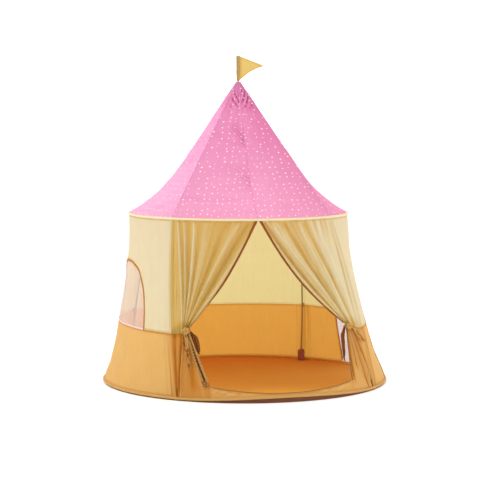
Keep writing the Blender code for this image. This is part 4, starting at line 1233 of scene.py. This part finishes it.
for side in ("left", "right"):
    curtain = Curtain(side)

    def waist_place(turn):
        return curtain.at(curtain.tie_degrees + turn * curtain.half_waist, curtain.tie_height, 0.0006)

    waist_middle = waist_place(0)
    doorward = (waist_place(-1) - waist_place(1)).normalized()
    tie_out = Vector((doorward.y, -doorward.x, 0)) * -curtain.sign
    half_wide = waist_width[side] / 2 + band_room + 0.0008
    half_deep = waist_fold + 0.0006 + band_room + 0.0008

    def band_spot(across, up):
        """Round the waist with across, and up its height, pinched in towards the knot."""
        turn = tau * across
        front = max(sin(turn), 0)
        grow = 0.0007 * sin(pi * up) + 0.0011 * noise_at(across * 7, up * 9, curtain.sign)
        tall = band_height * between(1.25, 0.75, front) * (up - 0.5)
        return (waist_middle + doorward * (half_wide + grow) * cos(turn)
                + tie_out * (half_deep + grow + 0.0015 * front) * sin(turn) + Vector((0, 0, tall)))

    # Painted shade: deeper where the band is drawn in between its puffs
    def band_hollow(across, up):
        return smooth(0.5 - noise_at(across * 7, up * 9, curtain.sign) * 1.6)

    band = cut_cloth(f"{side}_tie_band", 90, 12, strip(0.088, 0.016, 0.5), band_spot, band_hollow, tube=True)
    knot = bmesh.new()
    bmesh.ops.create_icosphere(knot, subdivisions=5, radius=1.0)
    knot_hollow = knot.verts.layers.float.new("hollow")
    knot_hem = knot.verts.layers.float.new("hem")
    knot_seat = waist_middle + tie_out * (half_deep + knot_depth * 0.7)
    for corner in knot.verts:
        spot = corner.co.copy()
        winding = abs(sin(3.2 * atan2(spot.z, spot.x) + 4 * spot.y + 2 * noise.noise(spot * 1.5)))
        size = 0.86 + 0.2 * winding + 0.1 * noise.noise(spot * 2.6)
        # Painted shade: deeper between the knot's windings
        corner[knot_hollow] = 1.8 * (1 - smooth(winding * 1.6))
        corner[knot_hem] = 0.02
        corner.co = (knot_seat - doorward * spot.x * knot_wide[side] * size
                     - tie_out * spot.y * knot_depth * size + Vector((0, 0, spot.z * knot_tall * size)))
    bmesh.ops.recalc_face_normals(knot, faces=knot.faces)
    knot = as_piece(f"{side}_tie_knot", knot)

    def hang(beside, drop, depth):
        height = curtain.tie_height - drop
        angle = curtain.tie_degrees - degrees_across(beside, wall_radius(curtain.tie_degrees, height))
        return curtain.at(angle, height, depth)

    def tail_ruffle(across, down):
        return noise_at(across * 3.0, down * tail_length[side] * 70, curtain.sign * 5)

    def tail_point(across, up):
        down = 1 - up
        tip = between(1, 0.55, smooth((down - 0.75) / 0.25)) if side == "left" else 1
        width = tail_width[side] * between(0.4, 0.95, smooth(down / 0.3)) * tip
        beside = tail_start[side] + width * (across - 0.5) - tail_sway[side] * down
        stand_off = half_deep + 0.0042 + tail_crumple[side] * tail_ruffle(across, down) * smooth(down / 0.1)
        sag = tail_crumple[side] * 1.2 * sin(across * 9 + down * 7) * smooth(down / 0.2)
        return hang(beside, tail_length[side] * down * (1 - 0.05 * abs(across - 0.5)), -stand_off - sag)

    # Painted shade: deeper where the crumpled tail lies further in
    tail = cut_cloth(f"{side}_tie_tail", 14, 110, strip(tail_width[side], tail_length[side]), tail_point,
                     lambda across, up: smooth(0.45 - 1.5 * tail_ruffle(across, 1 - up)))
    dress(band, tie_ribbon, [f"tie_{side}"])
    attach(band, "tent")
    for piece in (knot, tail):
        dress(piece, tie_ribbon, [])
        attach(piece, "tent")

    def lobe_ruffle(across, down):
        return sin(across * 17 + 2.5 * noise_at(across * 2, down * 6, curtain.sign * 7))

    def lobe_point(across, up):
        """The lobe flares out below the tie and narrows to its tip, with pleats that run down it."""
        down = 1 - up
        belly = between(0.55, 1.4 if side == "left" else 1.15, sin(pi * down ** 0.8))
        width = corner_width * belly * between(1, 0.55, smooth((down - 0.8) / 0.2))
        beside = corner_start[side] + corner_drift[side] * down + 0.016 * smooth(down / 0.3)
        beside += width * (across - 0.5)
        ruffle = 0.0018 * lobe_ruffle(across, down) * smooth(down / 0.15)
        return hang(beside, corner_length[side] * down, half_deep + 0.003 + ruffle + 0.003 * down)

    # Painted shade: the lobe is painted somewhat deeper as a whole, and deeper still in the pleats that lie
    # further in
    lobe = cut_cloth(f"{side}_curtain_loose_corner", 28, 80, strip(0.03, corner_length[side]), lobe_point,
                     lambda across, up: 0.55 + 0.5 * lobe_ruffle(across, 1 - up))
    dress(lobe, brown_tape, [f"curtain_{side}_corner"])
    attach(lobe, f"corner_{side}")

# Floor, light and camera
# A plain white studio floor under soft white light. The sky is brighter behind the tent and above it than on
# the camera's side, so that the cloth glows, as in a high-key studio.
bpy.context.scene.view_settings.view_transform = "Standard"
ground = bmesh.new()
bmesh.ops.create_grid(ground, x_segments=1, y_segments=1, size=40)
studio_floor = as_piece("studio_floor", ground)
floor_paint, floor_tree, floor_output = new_material("white_studio_floor")
floor_surface = add_node(floor_tree, "BsdfPrincipled", {"Base Color": linear("#F6F6F5"), "Roughness": 0.9})[0]
floor_tree.links.new(floor_surface, floor_output.inputs["Surface"])
studio_floor.data.materials.append(floor_paint)

world = bpy.data.worlds.new("studio")
bpy.context.scene.world = world
world.use_nodes = True
world.node_tree.nodes.clear()
sky_tree = world.node_tree
direction = add_node(sky_tree, "TexCoord", {})["Generated"]
sky_parts = add_node(sky_tree, "SeparateXYZ", {0: direction})
ahead = add_node(sky_tree, "MapRange", {
    "Value": sky_parts[1], "From Min": -1.0, "From Max": 1.0, "To Min": 0.46, "To Max": 1.75})[0]
above = add_node(sky_tree, "MapRange", {
    "Value": sky_parts[2], "From Min": 0.0, "From Max": 1.0, "To Min": 0.0, "To Max": 0.28})[0]
brightness = add_node(sky_tree, "Math", {0: ahead, 1: above}, operation="ADD")[0]
sky = add_node(sky_tree, "Background", {"Color": (1.0, 1.0, 1.0, 1.0), "Strength": brightness})[0]
sky_output = sky_tree.nodes.new("ShaderNodeOutputWorld")
sky_tree.links.new(sky, sky_output.inputs["Surface"])


def soft_light(name, where, size, power):
    """A square softbox that faces the middle of the tent."""
    lamp = bpy.data.lights.new(name, "AREA")
    lamp.shape = "SQUARE"
    lamp.size = size
    lamp.energy = power
    holder = bpy.data.objects.new(name, lamp)
    holder.location = where
    holder.rotation_euler = (Vector((0, 0, 0.5)) - Vector(where)).to_track_quat("-Z", "Y").to_euler()
    bpy.context.scene.collection.objects.link(holder)


soft_light("left_softbox", (-2.6, -1.2, 3.1), 1.2, 29)
soft_light("right_softbox", (2.6, -2.6, 1.4), 1.8, 30)
soft_light("top_softbox", (0.0, 0.6, 3.6), 1.8, 18)

lens = bpy.data.cameras.new("camera")
lens.sensor_width = 36.0
lens.lens = 122.4
camera = bpy.data.objects.new("camera", lens)
camera.location = (-2.1445, -6.59, 1.146)
camera.rotation_euler = (radians(90 - 4.54), 0, radians(-17.86))
bpy.context.scene.collection.objects.link(camera)
bpy.context.scene.camera = camera
